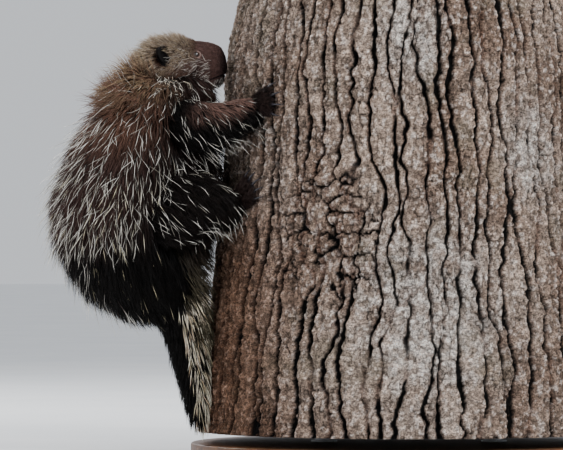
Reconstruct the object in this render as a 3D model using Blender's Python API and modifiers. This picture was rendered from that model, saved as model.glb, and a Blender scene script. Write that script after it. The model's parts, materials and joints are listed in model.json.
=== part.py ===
"""A porcupine climbing a cut length of tree trunk, held up by a plain display stand.

Metres, +Z up. The origin is the middle of the stand's underside, under the trunk's axis.
The animal is laid out in climbing coordinates, which an empty turns round the trunk:
out from the trunk's axis, right across the animal's body, and up from the floor.
"""

import math
import random

import bmesh
import bpy
from mathutils import Vector
from mathutils.bvhtree import BVHTree

# Touching nodes keep this far apart.
GAP = 0.0003
SEED = 20
# Faces that differ by less than this turn count as one plane.
FLAT_ANGLE = math.radians(0.5)

# The stand, and the length of trunk that it carries.
BASE_RADIUS = 0.385
BASE_THICKNESS = 0.020
BASE_CORNER = 0.004
ROD_RADIUS = 0.016
ROD_HEIGHT = 0.020
ROD_SPACING = 0.300
TRUNK_LENGTH = 0.783
TRUNK_FOOT_RADIUS = 0.3715
TRUNK_TOP_RADIUS = 0.2930
TRUNK_SWELLING = 0.015
SWELLING_HEIGHT = 0.675
SWELLING_SPREAD = 0.105
BARK_RELIEF = 0.004
BARK_RIDGES = 18
TRUNK_SIDES = 54
TRUNK_RINGS = 6

# The animal climbs this far round the trunk from its left, towards the viewer.
CLIMB_ANGLE = math.radians(12)

# Flesh: stations are (out, right, up, half depth, half width), from the nose to the tail's tip.
HEAD_STATIONS = (
    (0.3300, 0.000, 0.6790, 0.0110, 0.0095),
    (0.3340, 0.000, 0.6792, 0.0215, 0.0165),
    (0.3420, 0.000, 0.6802, 0.0300, 0.0220),
    (0.3530, 0.000, 0.6822, 0.0360, 0.0260),
    (0.3703, 0.000, 0.6841, 0.0385, 0.0300),
    (0.3936, 0.000, 0.6832, 0.0405, 0.0365),
    (0.4168, 0.000, 0.6798, 0.0430, 0.0420),
    (0.4383, 0.000, 0.6710, 0.0430, 0.0420),
    (0.4544, 0.000, 0.6588, 0.0340, 0.0340),
)
NECK_STATIONS = (
    (0.4300, 0.000, 0.6620, 0.0480, 0.0440),
    (0.4300, 0.000, 0.6430, 0.0660, 0.0540),
    (0.4370, 0.000, 0.6220, 0.0750, 0.0640),
    (0.4435, 0.000, 0.6010, 0.0815, 0.0720),
    (0.4470, 0.000, 0.5835, 0.0650, 0.0620),
)
TORSO_STATIONS = (
    (0.4450, 0.000, 0.6115, 0.0620, 0.0580),
    (0.4450, 0.000, 0.5958, 0.0810, 0.0720),
    (0.4543, 0.000, 0.5608, 0.0920, 0.0830),
    (0.4669, 0.000, 0.5170, 0.1045, 0.0950),
    (0.4786, 0.000, 0.4645, 0.1160, 0.1050),
    (0.4848, 0.000, 0.4208, 0.1195, 0.1080),
    (0.4777, 0.000, 0.3770, 0.1100, 0.1000),
    (0.4616, 0.000, 0.3385, 0.0890, 0.0830),
    (0.4383, 0.000, 0.3035, 0.0640, 0.0600),
    (0.4240, 0.000, 0.2825, 0.0450, 0.0440),
)
TAIL_STATIONS = (
    (0.4258, 0.000, 0.2930, 0.0420, 0.0400),
    (0.4150, 0.000, 0.2720, 0.0400, 0.0410),
    (0.4025, 0.000, 0.2230, 0.0305, 0.0350),
    (0.3918, 0.004, 0.1705, 0.0235, 0.0290),
    (0.3850, 0.015, 0.1180, 0.0165, 0.0220),
    (0.3818, 0.025, 0.0760, 0.0100, 0.0140),
    (0.3812, 0.028, 0.0605, 0.0060, 0.0085),
)
FORELEG_STATIONS = (
    (0.4482, 0.045, 0.5783, 0.0340, 0.0260),
    (0.4233, 0.072, 0.5800, 0.0380, 0.0300),
    (0.3966, 0.098, 0.5800, 0.0340, 0.0280),
    (0.3707, 0.118, 0.5853, 0.0270, 0.0240),
    (0.3457, 0.128, 0.5940, 0.0210, 0.0200),
    (0.3220, 0.134, 0.6028, 0.0170, 0.0160),
    (0.3075, 0.131, 0.6089, 0.0135, 0.0120),
)
HINDLEG_STATIONS = (
    (0.4938, 0.050, 0.3980, 0.0600, 0.0400),
    (0.4633, 0.075, 0.4208, 0.0600, 0.0440),
    (0.4328, 0.100, 0.4383, 0.0520, 0.0380),
    (0.4044, 0.118, 0.4453, 0.0400, 0.0320),
    (0.3754, 0.116, 0.4400, 0.0300, 0.0260),
    (0.3506, 0.101, 0.4313, 0.0220, 0.0200),
    (0.3328, 0.083, 0.4243, 0.0160, 0.0140),
)
LEFT_FORELEG_DROP = 0.018
LEFT_HINDLEG_DROP = 0.022

# Coat: how far it stands over the flesh on the back, the sides and the belly.
COAT_DEPTH = {
    "head": (0.012, 0.007, 0.007),
    "neck": (0.036, 0.028, 0.018),
    "torso": (0.044, 0.036, 0.022),
    "tail": (0.022, 0.022, 0.022),
    "foreleg": (0.014, 0.018, 0.020),
    "hindleg": (0.022, 0.024, 0.018),
}
CORE_SHARE = 0.45
# Between which stations the coat fades out, on the face and on the paws.
HEAD_FADE = (4.8, 7.0)
LEG_FADE = (7.5, 4.0)
# Rings and sides of each form's core.
CORE_DETAIL = {
    "head": (12, 16),
    "neck": (5, 14),
    "torso": (10, 16),
    "tail": (7, 10),
    "foreleg": (7, 8),
    "hindleg": (7, 8),
}

# Locks: first and last station, spacing of rows and round them, the lengths on the back,
# flank and belly, half width, and how many degrees they rise from the skin.
LOCKS = {
    "head": (4.9, 7.7, 0.024, 0.036, (0.040, 0.032, 0.032), 0.0130, 40),
    "neck": (0.2, 2.6, 0.030, 0.048, (0.068, 0.056, 0.038), 0.0190, 42),
    "torso": (1.3, 7.3, 0.041, 0.060, (0.086, 0.076, 0.050), 0.0245, 33),
    "foreleg": (1.7, 5.2, 0.034, 0.054, (0.036, 0.046, 0.056), 0.0160, 26),
    "hindleg": (1.5, 5.2, 0.046, 0.066, (0.048, 0.050, 0.052), 0.0205, 24),
}
LOCK_FLATNESS = 0.20
LOCK_SINK = 0.011
# No lock grows where another form covers its root by more than this, or this near the bark.
ROOT_LEEWAY = 0.020
BARK_CLEARANCE = 0.022
# Quills, in the same order.
QUILLS = {
    "tail": (0.4, 6.0, 0.030, 0.026, (0.048, 0.050, 0.036), 0.0021, 26),
    "torso": (7.3, 8.9, 0.032, 0.040, (0.052, 0.050, 0.034), 0.0022, 34),
}
# How far the weight of the coat turns its lie downwards.
DROOP = {"head": 0.15, "neck": 0.25, "torso": 0.30, "tail": 0.20, "foreleg": 1.10, "hindleg": 0.90}
DOWN = Vector((0, 0, -1))

# Where the whole animal is parted: a room's start, its end, and its half sizes at both.
# The rooms of the tail, torso and neck open backwards, so that they lean with the coat.
ROOMS = {
    "foreleg": ((0.4150, 0.098, 0.5620), (0.2600, 0.130, 0.5750), (0.068, 0.048), (0.068, 0.050)),
    "hindleg": ((0.4600, 0.112, 0.4080), (0.2900, 0.118, 0.4100), (0.090, 0.056), (0.078, 0.060)),
    "tail": ((0.4258, 0, 0.2895), (0.2887, 0, 0.0228), (0.066, 0.066), (0.212, 0.212)),
    "torso": ((0.4520, 0, 0.5980), (0.4940, 0, 0.1822), (0.092, 0.092), (0.480, 0.480)),
    "neck": ((0.4186, 0, 0.6728), (0.5506, 0, 0.5228), (0.062, 0.062), (0.242, 0.242)),
}

ROOM_SIDES = 12

# Paws lie on the bark: wrist angle round the trunk, wrist height, and heading above level.
# Then the sole's length and width, and the number of digits.
FOREPAW = (math.radians(23), 0.6098, math.radians(10), 0.034, 0.034, 4)
HINDFOOT = (math.radians(14), 0.4260, math.radians(42), 0.054, 0.040, 5)
PAW_THICKNESS = 0.020
# The palm from the wrist to the knuckles: share of the sole, of the width and of the thickness.
PALM_SECTIONS = ((-0.32, 0.52, 0.90), (0.25, 0.80, 1.0), (0.80, 1.0, 0.90), (1.0, 0.8, 0.6))
DIGIT_LENGTH = 0.018
DIGIT_RADIUS = 0.0058
DIGIT_FAN = 0.50
CLAW_LENGTH = 0.022
CLAW_RADIUS = 0.0030

# The face.
EYE_PLACE = (0.3890, 0.0284, 0.6999)
EYE_LOOK = (-0.42, 0.88, 0.20)
EYE_RADIUS = 0.0060
LID_RADIUS = 0.0056
LID_THICKNESS = 0.0020
EAR_ROOT = (0.4400, 0.0325, 0.6900)
EAR_DIRECTION = (0.58, 0.46, 0.67)
EAR_FACING = (-0.50, 0.86, -0.05)
EAR_LENGTH = 0.030
EAR_HALF_WIDTH = 0.0135
EAR_HALF_THICKNESS = 0.0048
EAR_CUP_RADIUS = 0.0098
EAR_CUP_OFFSET = 0.0105
NOSTRIL_PLACE = (0.3290, 0.0062, 0.6895)
NOSTRIL_RADIUS = 0.0028
MOUTH_LINE = ((0.3610, 0.6565), (0.3470, 0.6620), (0.3360, 0.6660), (0.3290, 0.6675))
MOUTH_GROOVE = 0.0011
LIP_RADIUS = 0.0026

COLOURS = {
    "bark": (0.23, 0.155, 0.115, 0.95, 0.0),
    "stand_board": (0.16, 0.10, 0.06, 0.45, 0.0),
    "stand_steel": (0.45, 0.45, 0.46, 0.35, 1.0),
    "coat": (0.060, 0.040, 0.030, 0.80, 0.0),
    "quills": (0.120, 0.090, 0.060, 0.60, 0.0),
    "face": (0.075, 0.045, 0.035, 0.75, 0.0),
    "paw": (0.050, 0.032, 0.027, 0.70, 0.0),
    "eye": (0.010, 0.010, 0.012, 0.08, 0.0),
}


def clear_scene():
    for old in list(bpy.data.objects):
        bpy.data.objects.remove(old, do_unlink=True)


def material(name):
    """The Principled material of that name, made the first time it is asked for."""
    found = bpy.data.materials.get(name)
    if found:
        return found
    red, green, blue, roughness, metallic = COLOURS[name]
    made = bpy.data.materials.new(name)
    made.use_nodes = True
    shader = made.node_tree.nodes["Principled BSDF"]
    shader.inputs["Base Color"].default_value = (red, green, blue, 1)
    shader.inputs["Roughness"].default_value = roughness
    shader.inputs["Metallic"].default_value = metallic
    return made


def collection(name):
    made = bpy.data.collections.new(name)
    bpy.context.scene.collection.children.link(made)
    return made


def mesh_object(name, shape, group, finish=None):
    """An object of these (points, faces) in the group, carried by the climber."""
    points, faces = shape
    mesh = bpy.data.meshes.new(name)
    mesh.from_pydata([tuple(point) for point in points], [], faces)
    mesh.update()
    made = bpy.data.objects.new(name, mesh)
    group.objects.link(made)
    made.parent = CLIMBER
    if finish:
        mesh.materials.append(material(finish))
    return made


def adopt(made, name, finish):
    """Moves a new primitive among the parts, under its own name and finish."""
    for group in list(made.users_collection):
        group.objects.unlink(made)
    PARTS.objects.link(made)
    made.name = name
    made.data.name = name
    made.data.materials.append(material(finish))
    return made


class Form:
    """A length of flesh: oval sections along a smooth line through its stations."""

    def __init__(self, stations, across=(0, 1, 0), coat=(0, 0, 0), fade=(-2, -1)):
        self.stations = [tuple(station) for station in stations]
        self.across = Vector(across)
        self.coat = coat
        self.fade = fade
        self.last = len(self.stations) - 1

    def values(self, s):
        """Out, right, up, half depth and half width at s, by a Catmull-Rom curve."""
        s = min(max(s, 0.0), float(self.last))
        i = min(int(s), self.last - 1)
        t = s - i
        corners = [self.stations[min(max(k, 0), self.last)] for k in range(i - 1, i + 3)]
        found = []
        for a, b, c, d in zip(*corners):
            bend = (2 * a - 5 * b + 4 * c - d) * t**2 + (3 * b - a - 3 * c + d) * t**3
            found.append(0.5 * (2 * b + (c - a) * t + bend))
        return found

    def frame(self, s):
        """Centre, direction along, to the back and to the side, and the half sizes."""
        step = 0.02
        out, right, up, depth, width = self.values(s)
        along = (Vector(self.values(s + step)[:3]) - Vector(self.values(s - step)[:3])).normalized()
        side = (self.across - along * self.across.dot(along)).normalized()
        return Vector((out, right, up)), along, along.cross(side), side, depth, width

    def coat_depth(self, s, angle):
        """The coat's depth there, with the back at no angle, and none where it fades out."""
        bare, full = self.fade
        share = min(max((s - bare) / (full - bare), 0.0), 1.0)
        return round_value(self.coat, angle) * share * share * (3 - 2 * share)

    def at(self, s, angle, share=0.0, grow=0.0):
        """A point over the flesh, by a share of the coat's depth and a plain distance."""
        centre, _, back, side, depth, width = self.frame(s)
        lift = self.coat_depth(s, angle) * share + grow
        return centre + back * (depth + lift) * math.cos(angle) + side * (width + lift) * math.sin(angle)

    def surface(self, s, angle, share):
        """Point, outward normal and the direction along the surface towards the far end."""
        step = 0.04
        point = self.at(s, angle, share)
        along = self.at(min(s + step, self.last), angle, share) - self.at(max(s - step, 0), angle, share)
        around = self.at(s, angle + step, share) - self.at(s, angle - step, share)
        return point, along.cross(around).normalized(), along.normalized()

    def length(self, start, end):
        steps = 12
        marks = [Vector(self.values(start + (end - start) * k / steps)[:3]) for k in range(steps + 1)]
        return sum((b - a).length for a, b in zip(marks, marks[1:]))

    def mesh(self, rings, sides, share=0.0, grow=0.0, cap=0.3):
        """Points and faces of the closed form, its ends rounded by a pole."""
        first, along, _, _, depth, _ = self.frame(0)
        points = [first - along * (depth * cap + grow)]
        for i in range(rings):
            s = self.last * i / (rings - 1)
            points += [self.at(s, 2 * math.pi * j / sides, share, grow) for j in range(sides)]
        final, along, _, _, depth, _ = self.frame(self.last)
        points.append(final + along * (depth * cap + grow))
        faces = []
        for i in range(rings - 1):
            for j in range(sides):
                a, b = 1 + i * sides + j, 1 + i * sides + (j + 1) % sides
                faces += [(a, a + sides, b), (b, a + sides, b + sides)]
        for j in range(sides):
            a = 1 + (rings - 1) * sides
            faces.append((0, 1 + j, 1 + (j + 1) % sides))
            faces.append((len(points) - 1, a + (j + 1) % sides, a + j))
        return points, outward(points, faces)


def round_value(sizes, angle):
    """A size at this angle round a form, between those of the back, flank and belly."""
    back, flank, belly = sizes
    turn = math.cos(angle)
    return flank + ((back - flank) if turn > 0 else (belly - flank)) * turn * turn


def outward(points, faces):
    """The faces, all turned over where they would enclose less than nothing."""
    held = sum(points[a].dot(points[b].cross(points[c])) for a, b, c in faces)
    return faces if held > 0 else [(a, c, b) for a, b, c in faces]


def mirrored(stations, drop):
    """The same stations on the animal's left, the paw let down by the drop."""
    last = len(stations) - 1
    return tuple(
        (out, -right, up - drop * k / last, depth, width)
        for k, (out, right, up, depth, width) in enumerate(stations)
    )


def sweep(points, wide, half_widths, half_thicknesses, sides):
    """A closed, flattened and tapered solid along the points, which ends in a tip."""
    made, faces = [], []
    for k, point in enumerate(points[:-1]):
        along = (points[k + 1] - points[max(k - 1, 0)]).normalized()
        across = (wide - along * wide.dot(along)).normalized()
        thin = along.cross(across)
        for j in range(sides):
            turn = 2 * math.pi * j / sides + math.pi / 2
            flat = across * half_widths[k] * math.cos(turn) + thin * half_thicknesses[k] * math.sin(turn)
            made.append(point + flat)
    made.append(points[-1])
    rings = len(points) - 1
    for i in range(rings - 1):
        for j in range(sides):
            a, b = i * sides + j, i * sides + (j + 1) % sides
            faces += [(a, b, a + sides), (b, b + sides, a + sides)]
    for j in range(sides):
        a = (rings - 1) * sides
        faces.append((a + j, a + (j + 1) % sides, len(made) - 1))
    faces += [(0, j + 1, j) for j in range(1, sides - 1)]
    return made, outward(made, faces)


def tube(points, radius, sides, closed=False):
    """A closed tube of even thickness through the points, or a ring of it."""
    made, faces = [], []
    count = len(points)
    middle = sum(points, Vector()) / count
    for k, point in enumerate(points):
        if closed:
            before, after = points[k - 1], points[(k + 1) % count]
        else:
            before, after = points[max(k - 1, 0)], points[min(k + 1, count - 1)]
        along = (after - before).normalized()
        away = point - middle
        first = (away - along * away.dot(along)).normalized()
        second = along.cross(first)
        for j in range(sides):
            turn = 2 * math.pi * j / sides
            made.append(point + (first * math.cos(turn) + second * math.sin(turn)) * radius)
    for i in range(count if closed else count - 1):
        for j in range(sides):
            a, b = i * sides + j, i * sides + (j + 1) % sides
            c, d = (a + sides) % (count * sides), (b + sides) % (count * sides)
            faces += [(a, b, c), (b, d, c)]
    if not closed:
        final = (count - 1) * sides
        faces += [(0, j + 1, j) for j in range(1, sides - 1)]
        faces += [(final, final + j, final + j + 1) for j in range(1, sides - 1)]
    return made, outward(made, faces)


def ball(centre, radius, segments, rings, stretch=(1, 1, 1)):
    """Points and faces of a ball, stretched along the three axes."""
    points = [Vector((0, 0, -radius))]
    for i in range(1, rings):
        tilt = math.pi * i / rings - math.pi / 2
        for j in range(segments):
            turn = 2 * math.pi * j / segments
            ring = radius * math.cos(tilt)
            points.append(Vector((ring * math.cos(turn), ring * math.sin(turn), radius * math.sin(tilt))))
    points.append(Vector((0, 0, radius)))
    faces = []
    for i in range(rings - 2):
        for j in range(segments):
            a, b = 1 + i * segments + j, 1 + i * segments + (j + 1) % segments
            faces += [(a, b, a + segments), (b, b + segments, a + segments)]
    top = 1 + (rings - 2) * segments
    for j in range(segments):
        faces.append((0, 1 + (j + 1) % segments, 1 + j))
        faces.append((len(points) - 1, top + j, top + (j + 1) % segments))
    placed = [Vector((p.x * stretch[0], p.y * stretch[1], p.z * stretch[2])) for p in points]
    return [point + Vector(centre) for point in placed], outward(placed, faces)


def boolean(target, operation, other=None, group=None):
    """Applies one Boolean with an object or a collection to the target's mesh."""
    modifier = target.modifiers.new("join", "BOOLEAN")
    modifier.operation = operation
    modifier.solver = "MANIFOLD"
    if group:
        modifier.operand_type = "COLLECTION"
        modifier.collection = group
    else:
        modifier.object = other
    bpy.context.view_layer.update()
    graph = bpy.context.evaluated_depsgraph_get()
    made = bpy.data.meshes.new_from_object(target.evaluated_get(graph), depsgraph=graph)
    target.modifiers.clear()
    old = target.data
    target.data = made
    bpy.data.meshes.remove(old)


def with_shapes(target, operation, shapes):
    """Joins or cuts the target with many closed shapes at once, then drops them."""
    group = collection("pieces")
    for k, shape in enumerate(shapes):
        mesh_object(f"piece_{k}", shape, group)
    boolean(target, operation, group=group)
    remove(group.objects)
    bpy.data.collections.remove(group)


def remove(objects):
    for one in list(objects):
        mesh = one.data
        bpy.data.objects.remove(one, do_unlink=True)
        bpy.data.meshes.remove(mesh)


def keep_largest(target):
    """Drops every closed surface of the target but the one that holds the most."""
    shell = bmesh.new()
    shell.from_mesh(target.data)
    seen, groups = set(), []
    for face in shell.faces:
        if face in seen:
            continue
        group, waiting = [], [face]
        seen.add(face)
        while waiting:
            one = waiting.pop()
            group.append(one)
            for edge in one.edges:
                for near in edge.link_faces:
                    if near not in seen:
                        seen.add(near)
                        waiting.append(near)
        groups.append(group)
    groups.sort(key=held_volume, reverse=True)
    loose = [face for group in groups[1:] for face in group]
    if loose:
        bmesh.ops.delete(shell, geom=loose, context="FACES")
        shell.to_mesh(target.data)
    shell.free()


def join_flat_faces(target):
    """Lets neighbouring faces that lie in one plane count as one."""
    shell = bmesh.new()
    shell.from_mesh(target.data)
    bmesh.ops.dissolve_limit(shell, angle_limit=FLAT_ANGLE, verts=shell.verts, edges=shell.edges)
    shell.to_mesh(target.data)
    shell.free()


def held_volume(faces):
    total = 0.0
    for face in faces:
        corners = [loop.vert.co for loop in face.loops]
        for k in range(1, len(corners) - 1):
            total += corners[0].dot(corners[k].cross(corners[k + 1]))
    return total


def finish_with(target, finish):
    target.data.materials.clear()
    target.data.materials.append(material(finish))


def split_off(source, name, sizes, finish):
    """A new node of what a room holds of the source, which keeps the rest over the gap."""
    made = bpy.data.objects.new(name, source.data.copy())
    PARTS.objects.link(made)
    made.parent = CLIMBER
    with_shapes(made, "INTERSECT", [room(*sizes)])
    with_shapes(source, "DIFFERENCE", [room(*sizes, GAP)])
    keep_largest(made)
    finish_with(made, finish)


def part_leg(source, name, side, drop):
    """Parts one leg from the animal; the left paws, and so their rooms, are let down."""
    start, end, near, far = ROOMS[name.split("_")[0]]
    start = (start[0], start[1] * side, start[2] - drop / 2)
    end = (end[0], end[1] * side, end[2] - drop)
    split_off(source, name, (start, end, near, far), "coat")


def trunk_radius(up):
    """The bark's mean distance from the trunk's axis at this height."""
    share = (up - TRUNK_FOOT) / TRUNK_LENGTH
    swelling = TRUNK_SWELLING * math.exp(-(((up - SWELLING_HEIGHT) / SWELLING_SPREAD) ** 2))
    return TRUNK_FOOT_RADIUS + (TRUNK_TOP_RADIUS - TRUNK_FOOT_RADIUS) * share + swelling


def trunk_shape(grow=0.0):
    """The cut length of trunk, its bark in long furrows, its ends sawn flat."""
    points, faces = [], []
    for i in range(TRUNK_RINGS):
        share = i / (TRUNK_RINGS - 1)
        up = TRUNK_FOOT - grow + (TRUNK_LENGTH + 2 * grow) * share
        for j in range(TRUNK_SIDES):
            turn = 2 * math.pi * j / TRUNK_SIDES
            wander = 0.30 * math.sin(5 * share + 1.3) + 0.12 * math.sin(3 * turn + 0.4)
            ridge = math.cos(BARK_RIDGES * turn + 3 * wander)
            knots = math.sin(7 * turn + 2.1 + 9 * share) * math.cos(11 * share + 0.7)
            radius = trunk_radius(up) + BARK_RELIEF * (0.6 * ridge - 0.5 + 0.4 * knots) + grow
            points.append(Vector((radius * math.cos(turn), radius * math.sin(turn), up)))
    for i in range(TRUNK_RINGS - 1):
        for j in range(TRUNK_SIDES):
            a, b = i * TRUNK_SIDES + j, i * TRUNK_SIDES + (j + 1) % TRUNK_SIDES
            faces += [(a, b, a + TRUNK_SIDES), (b, b + TRUNK_SIDES, a + TRUNK_SIDES)]
    top = (TRUNK_RINGS - 1) * TRUNK_SIDES
    points.append(Vector((0, 0, TRUNK_FOOT - grow)))
    points.append(Vector((0, 0, TRUNK_FOOT + TRUNK_LENGTH + grow)))
    for j in range(TRUNK_SIDES):
        faces.append((len(points) - 2, (j + 1) % TRUNK_SIDES, j))
        faces.append((len(points) - 1, top + j, top + (j + 1) % TRUNK_SIDES))
    return points, outward(points, faces)


def make_stand():
    """The round board and its two rods, which carry the trunk's sawn foot."""
    bpy.ops.mesh.primitive_cylinder_add(
        vertices=42, radius=BASE_RADIUS, depth=BASE_THICKNESS, location=(0, 0, BASE_THICKNESS / 2)
    )
    board = adopt(bpy.context.object, "stand_base", "stand_board")
    rounding = board.modifiers.new("corner", "BEVEL")
    rounding.width = BASE_CORNER
    rounding.segments = 1
    rounding.angle_limit = math.radians(40)
    for name, offset in (("stand_rod_left", -ROD_SPACING / 2), ("stand_rod_right", ROD_SPACING / 2)):
        bpy.ops.mesh.primitive_cylinder_add(
            vertices=20,
            radius=ROD_RADIUS,
            depth=ROD_HEIGHT - 2 * GAP,
            location=(offset, 0, BASE_THICKNESS + ROD_HEIGHT / 2),
        )
        adopt(bpy.context.object, name, "stand_steel")


def bark_place(angle, up, lift, side):
    """A point over the bark, on the animal's right or left."""
    radius = trunk_radius(up) + lift
    return Vector((radius * math.cos(angle), radius * math.sin(angle) * side, up))


def paw_pieces(side, sizes, drop, grow=0.0):
    """The palm, the digits and the long curved claws of a paw that is laid round the bark."""
    angle, height, heading, sole, width, digits = sizes
    height -= drop
    sink = PAW_THICKNESS * 0.36
    half = PAW_THICKNESS / 2

    def place(forward, across, lift):
        """A point at this distance ahead of the wrist and across the paw, over the bark."""
        up = height + forward * math.sin(heading) - across * math.cos(heading)
        level = forward * math.cos(heading) + across * math.sin(heading)
        return bark_place(angle + level / trunk_radius(up), up, lift, side)

    ahead = place(sole, 0, sink) - place(0, 0, sink)
    wide = ahead.cross(Vector((math.cos(angle), math.sin(angle) * side, 0)))
    palm = []
    for share, broad, thick in PALM_SECTIONS:
        palm.append(tuple(place(sole * share, 0, sink)) + (half * thick, width / 2 * broad))
    pieces = [Form(palm, wide).mesh(4, 7, grow=grow, cap=0.6)]
    for k in range(digits):
        share = 2 * k / (digits - 1) - 1
        across = share * width * 0.42
        fan = share * DIGIT_FAN
        reach = 1 - 0.20 * share * share
        knuckle = sole * 0.88 - 0.004 * share * share
        tip = knuckle + DIGIT_LENGTH * reach

        def ahead_by(forward, lift):
            return place(forward, across + fan * (forward - knuckle), lift)

        digit = (
            tuple(ahead_by(knuckle - 0.006, sink)) + (DIGIT_RADIUS, DIGIT_RADIUS),
            tuple(ahead_by(tip, sink * 0.75)) + (DIGIT_RADIUS * 0.80, DIGIT_RADIUS * 0.85),
        )
        pieces.append(Form(digit, wide).mesh(2, 5, grow=grow, cap=0.7))
        claw = [
            ahead_by(tip - 0.004, sink * 0.80),
            ahead_by(tip + CLAW_LENGTH * 0.32, sink * 1.05),
            ahead_by(tip + CLAW_LENGTH * 0.68, sink * 0.62),
            ahead_by(tip + CLAW_LENGTH * reach + grow * 2, 0.0004 - grow * 2),
        ]
        widths = [CLAW_RADIUS * 0.80 + grow, CLAW_RADIUS * 0.75 + grow, CLAW_RADIUS * 0.55 + grow]
        heights = [CLAW_RADIUS + grow, CLAW_RADIUS + grow, CLAW_RADIUS * 0.7 + grow]
        pieces.append(sweep(claw, wide, widths, heights, 3))
    return pieces


def make_paw(name, side, sizes, drop):
    """One paw, its underside cut to the bark, and the shapes that keep the leg clear of it."""
    pieces = paw_pieces(side, sizes, drop)
    paw = mesh_object(name, pieces[0], PARTS, "paw")
    with_shapes(paw, "UNION", pieces[1:])
    with_shapes(paw, "DIFFERENCE", [trunk_shape(GAP)])
    keep_largest(paw)
    return paw_pieces(side, sizes, drop, grow=GAP)


def make_eye(name, side):
    place = Vector(EYE_PLACE)
    place.y *= side
    mesh_object(name, ball(place, EYE_RADIUS, 10, 7), PARTS, "eye")


def ear_form(side):
    """The ear's rounded shell: its form, its facing direction and its lengthwise one."""
    root = Vector(EAR_ROOT)
    root.y *= side
    lean = Vector(EAR_DIRECTION).normalized()
    lean.y *= side
    forward = Vector(EAR_FACING)
    forward.y *= side
    wide = lean.cross(forward).normalized()
    stations = []
    for share, broad in ((-0.30, 0.55), (0.1, 0.85), (0.5, 1.0), (0.8, 0.82), (0.97, 0.42)):
        thick = EAR_HALF_THICKNESS * (1.15 - 0.35 * share)
        stations.append(tuple(root + lean * EAR_LENGTH * share) + (thick, EAR_HALF_WIDTH * broad))
    facing = wide.cross(lean).normalized()
    if facing.dot(forward) < 0:
        facing.negate()
    return Form(stations, wide), facing, lean, wide, root


def make_ear(name, side):
    """A small round ear, cupped forwards, and the shape that keeps the head clear of it."""
    form, facing, lean, wide, root = ear_form(side)
    made = mesh_object(name, form.mesh(5, 10, cap=0.5), PARTS, "face")
    centre = root + lean * EAR_LENGTH * 0.58 + facing * EAR_CUP_OFFSET
    points, faces = ball((0, 0, 0), EAR_CUP_RADIUS, 10, 6)
    cup = [centre + wide * p.x + lean * p.y * 1.2 + facing * p.z for p in points]
    with_shapes(made, "DIFFERENCE", [(cup, outward(cup, faces))])
    keep_largest(made)
    return form.mesh(5, 10, grow=GAP, cap=0.5)


def bvh_of(shapes):
    points, faces = [], []
    for more_points, more_faces in shapes:
        start = len(points)
        points += [tuple(point) for point in more_points]
        faces += [tuple(start + k for k in face) for face in more_faces]
    return BVHTree.FromPolygons(points, faces)


def face_points(skin, side):
    """The mouth's line on the skin of one cheek, from its corner to under the nose."""
    points = []
    for out, up in MOUTH_LINE[:-1]:
        found = skin.ray_cast(Vector((out, 0.2 * side, up)), Vector((0, -side, 0)))[0]
        points.append(found)
    return points


def face_details():
    """Lids and lips to join, and the mouth's line and nostrils to cut."""
    skin = bvh_of([FORMS["head"].mesh(17, 32)])
    joined, cut = [], []
    front_out, front_up = MOUTH_LINE[-1]
    front = skin.ray_cast(Vector((front_out - 0.1, GAP, front_up)), Vector((1, 0, 0)))[0]
    line = face_points(skin, 1) + [front] + face_points(skin, -1)[::-1]
    above = [point + Vector((0, 0, LIP_RADIUS * 0.9)) for point in line]
    below = [point - Vector((0, 0, LIP_RADIUS * 0.9)) for point in line]
    joined += [tube(above, LIP_RADIUS, 4), tube(below, LIP_RADIUS, 4)]
    middle = Vector((MOUTH_LINE[0][0], 0, MOUTH_LINE[0][1]))
    groove = [point + (point - middle).normalized() * LIP_RADIUS * 0.6 for point in line]
    cut.append(tube(groove, MOUTH_GROOVE, 3))
    for side in (1, -1):
        eye = Vector(EYE_PLACE)
        eye.y *= side
        out_of = Vector(EYE_LOOK).normalized()
        out_of.y *= side
        level = Vector((1, 0, 0)) - out_of * out_of.x
        level.normalize()
        rise = out_of.cross(level)
        ring = []
        for k in range(10):
            turn = 2 * math.pi * k / 10
            spread = level * math.cos(turn) * LID_RADIUS * 1.05 + rise * math.sin(turn) * LID_RADIUS * 0.86
            ring.append(eye + spread + out_of * (EYE_RADIUS * 0.52))
        joined.append(tube(ring, LID_THICKNESS, 3, closed=True))
        cut.append(ball(eye, EYE_RADIUS + GAP, 10, 7))
        nostril = Vector(NOSTRIL_PLACE)
        nostril.y *= side
        cut.append(ball(nostril, NOSTRIL_RADIUS, 7, 5, (1.6, 0.75, 1.1)))
    return joined, cut


def hair(root, normal, lie, length, rise, sink, steps):
    """Points of a hair that leaves the skin at its rise and bends over towards its lie."""
    start = (normal * math.sin(rise) + lie * math.cos(rise)).normalized()
    points = [root - start * sink]
    place = root.copy()
    for k in range(steps):
        turn = rise * (1 - 0.85 * k / steps)
        heading = normal * math.sin(turn) + lie * math.cos(turn) + DOWN * 0.10 * k
        place = place + heading.normalized() * length / steps
        points.append(place.copy())
    return points


def roots(form, skin, name, first, final, row_gap, gap, draw):
    """Even, staggered places over a form: point, normal, lie and the angle round it."""
    rows = max(2, round(form.length(first, final) / row_gap))
    for i in range(rows):
        s = first + (final - first) * (i + 0.5) / rows
        _, _, _, _, depth, width = form.frame(s)
        count = max(5, round(math.pi * (depth + width + form.coat_depth(s, 1.5)) / gap))
        for j in range(count):
            angle = 2 * math.pi * (j + 0.5 * (i % 2) + draw.uniform(-0.18, 0.18)) / count
            place = s + draw.uniform(-0.22, 0.22) * (final - first) / rows
            point, normal, along = form.surface(place, angle, CORE_SHARE)
            hit = skin.ray_cast(point + normal * 0.15, -normal)[0]
            if hit is None or (hit - point).length > ROOT_LEEWAY:
                continue
            if Vector((hit.x, hit.y)).length < trunk_radius(hit.z) + BARK_CLEARANCE:
                continue
            lie = along + DOWN * DROOP[name]
            lie = (lie - normal * lie.dot(normal)).normalized()
            yield hit, normal, lie, angle


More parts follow.
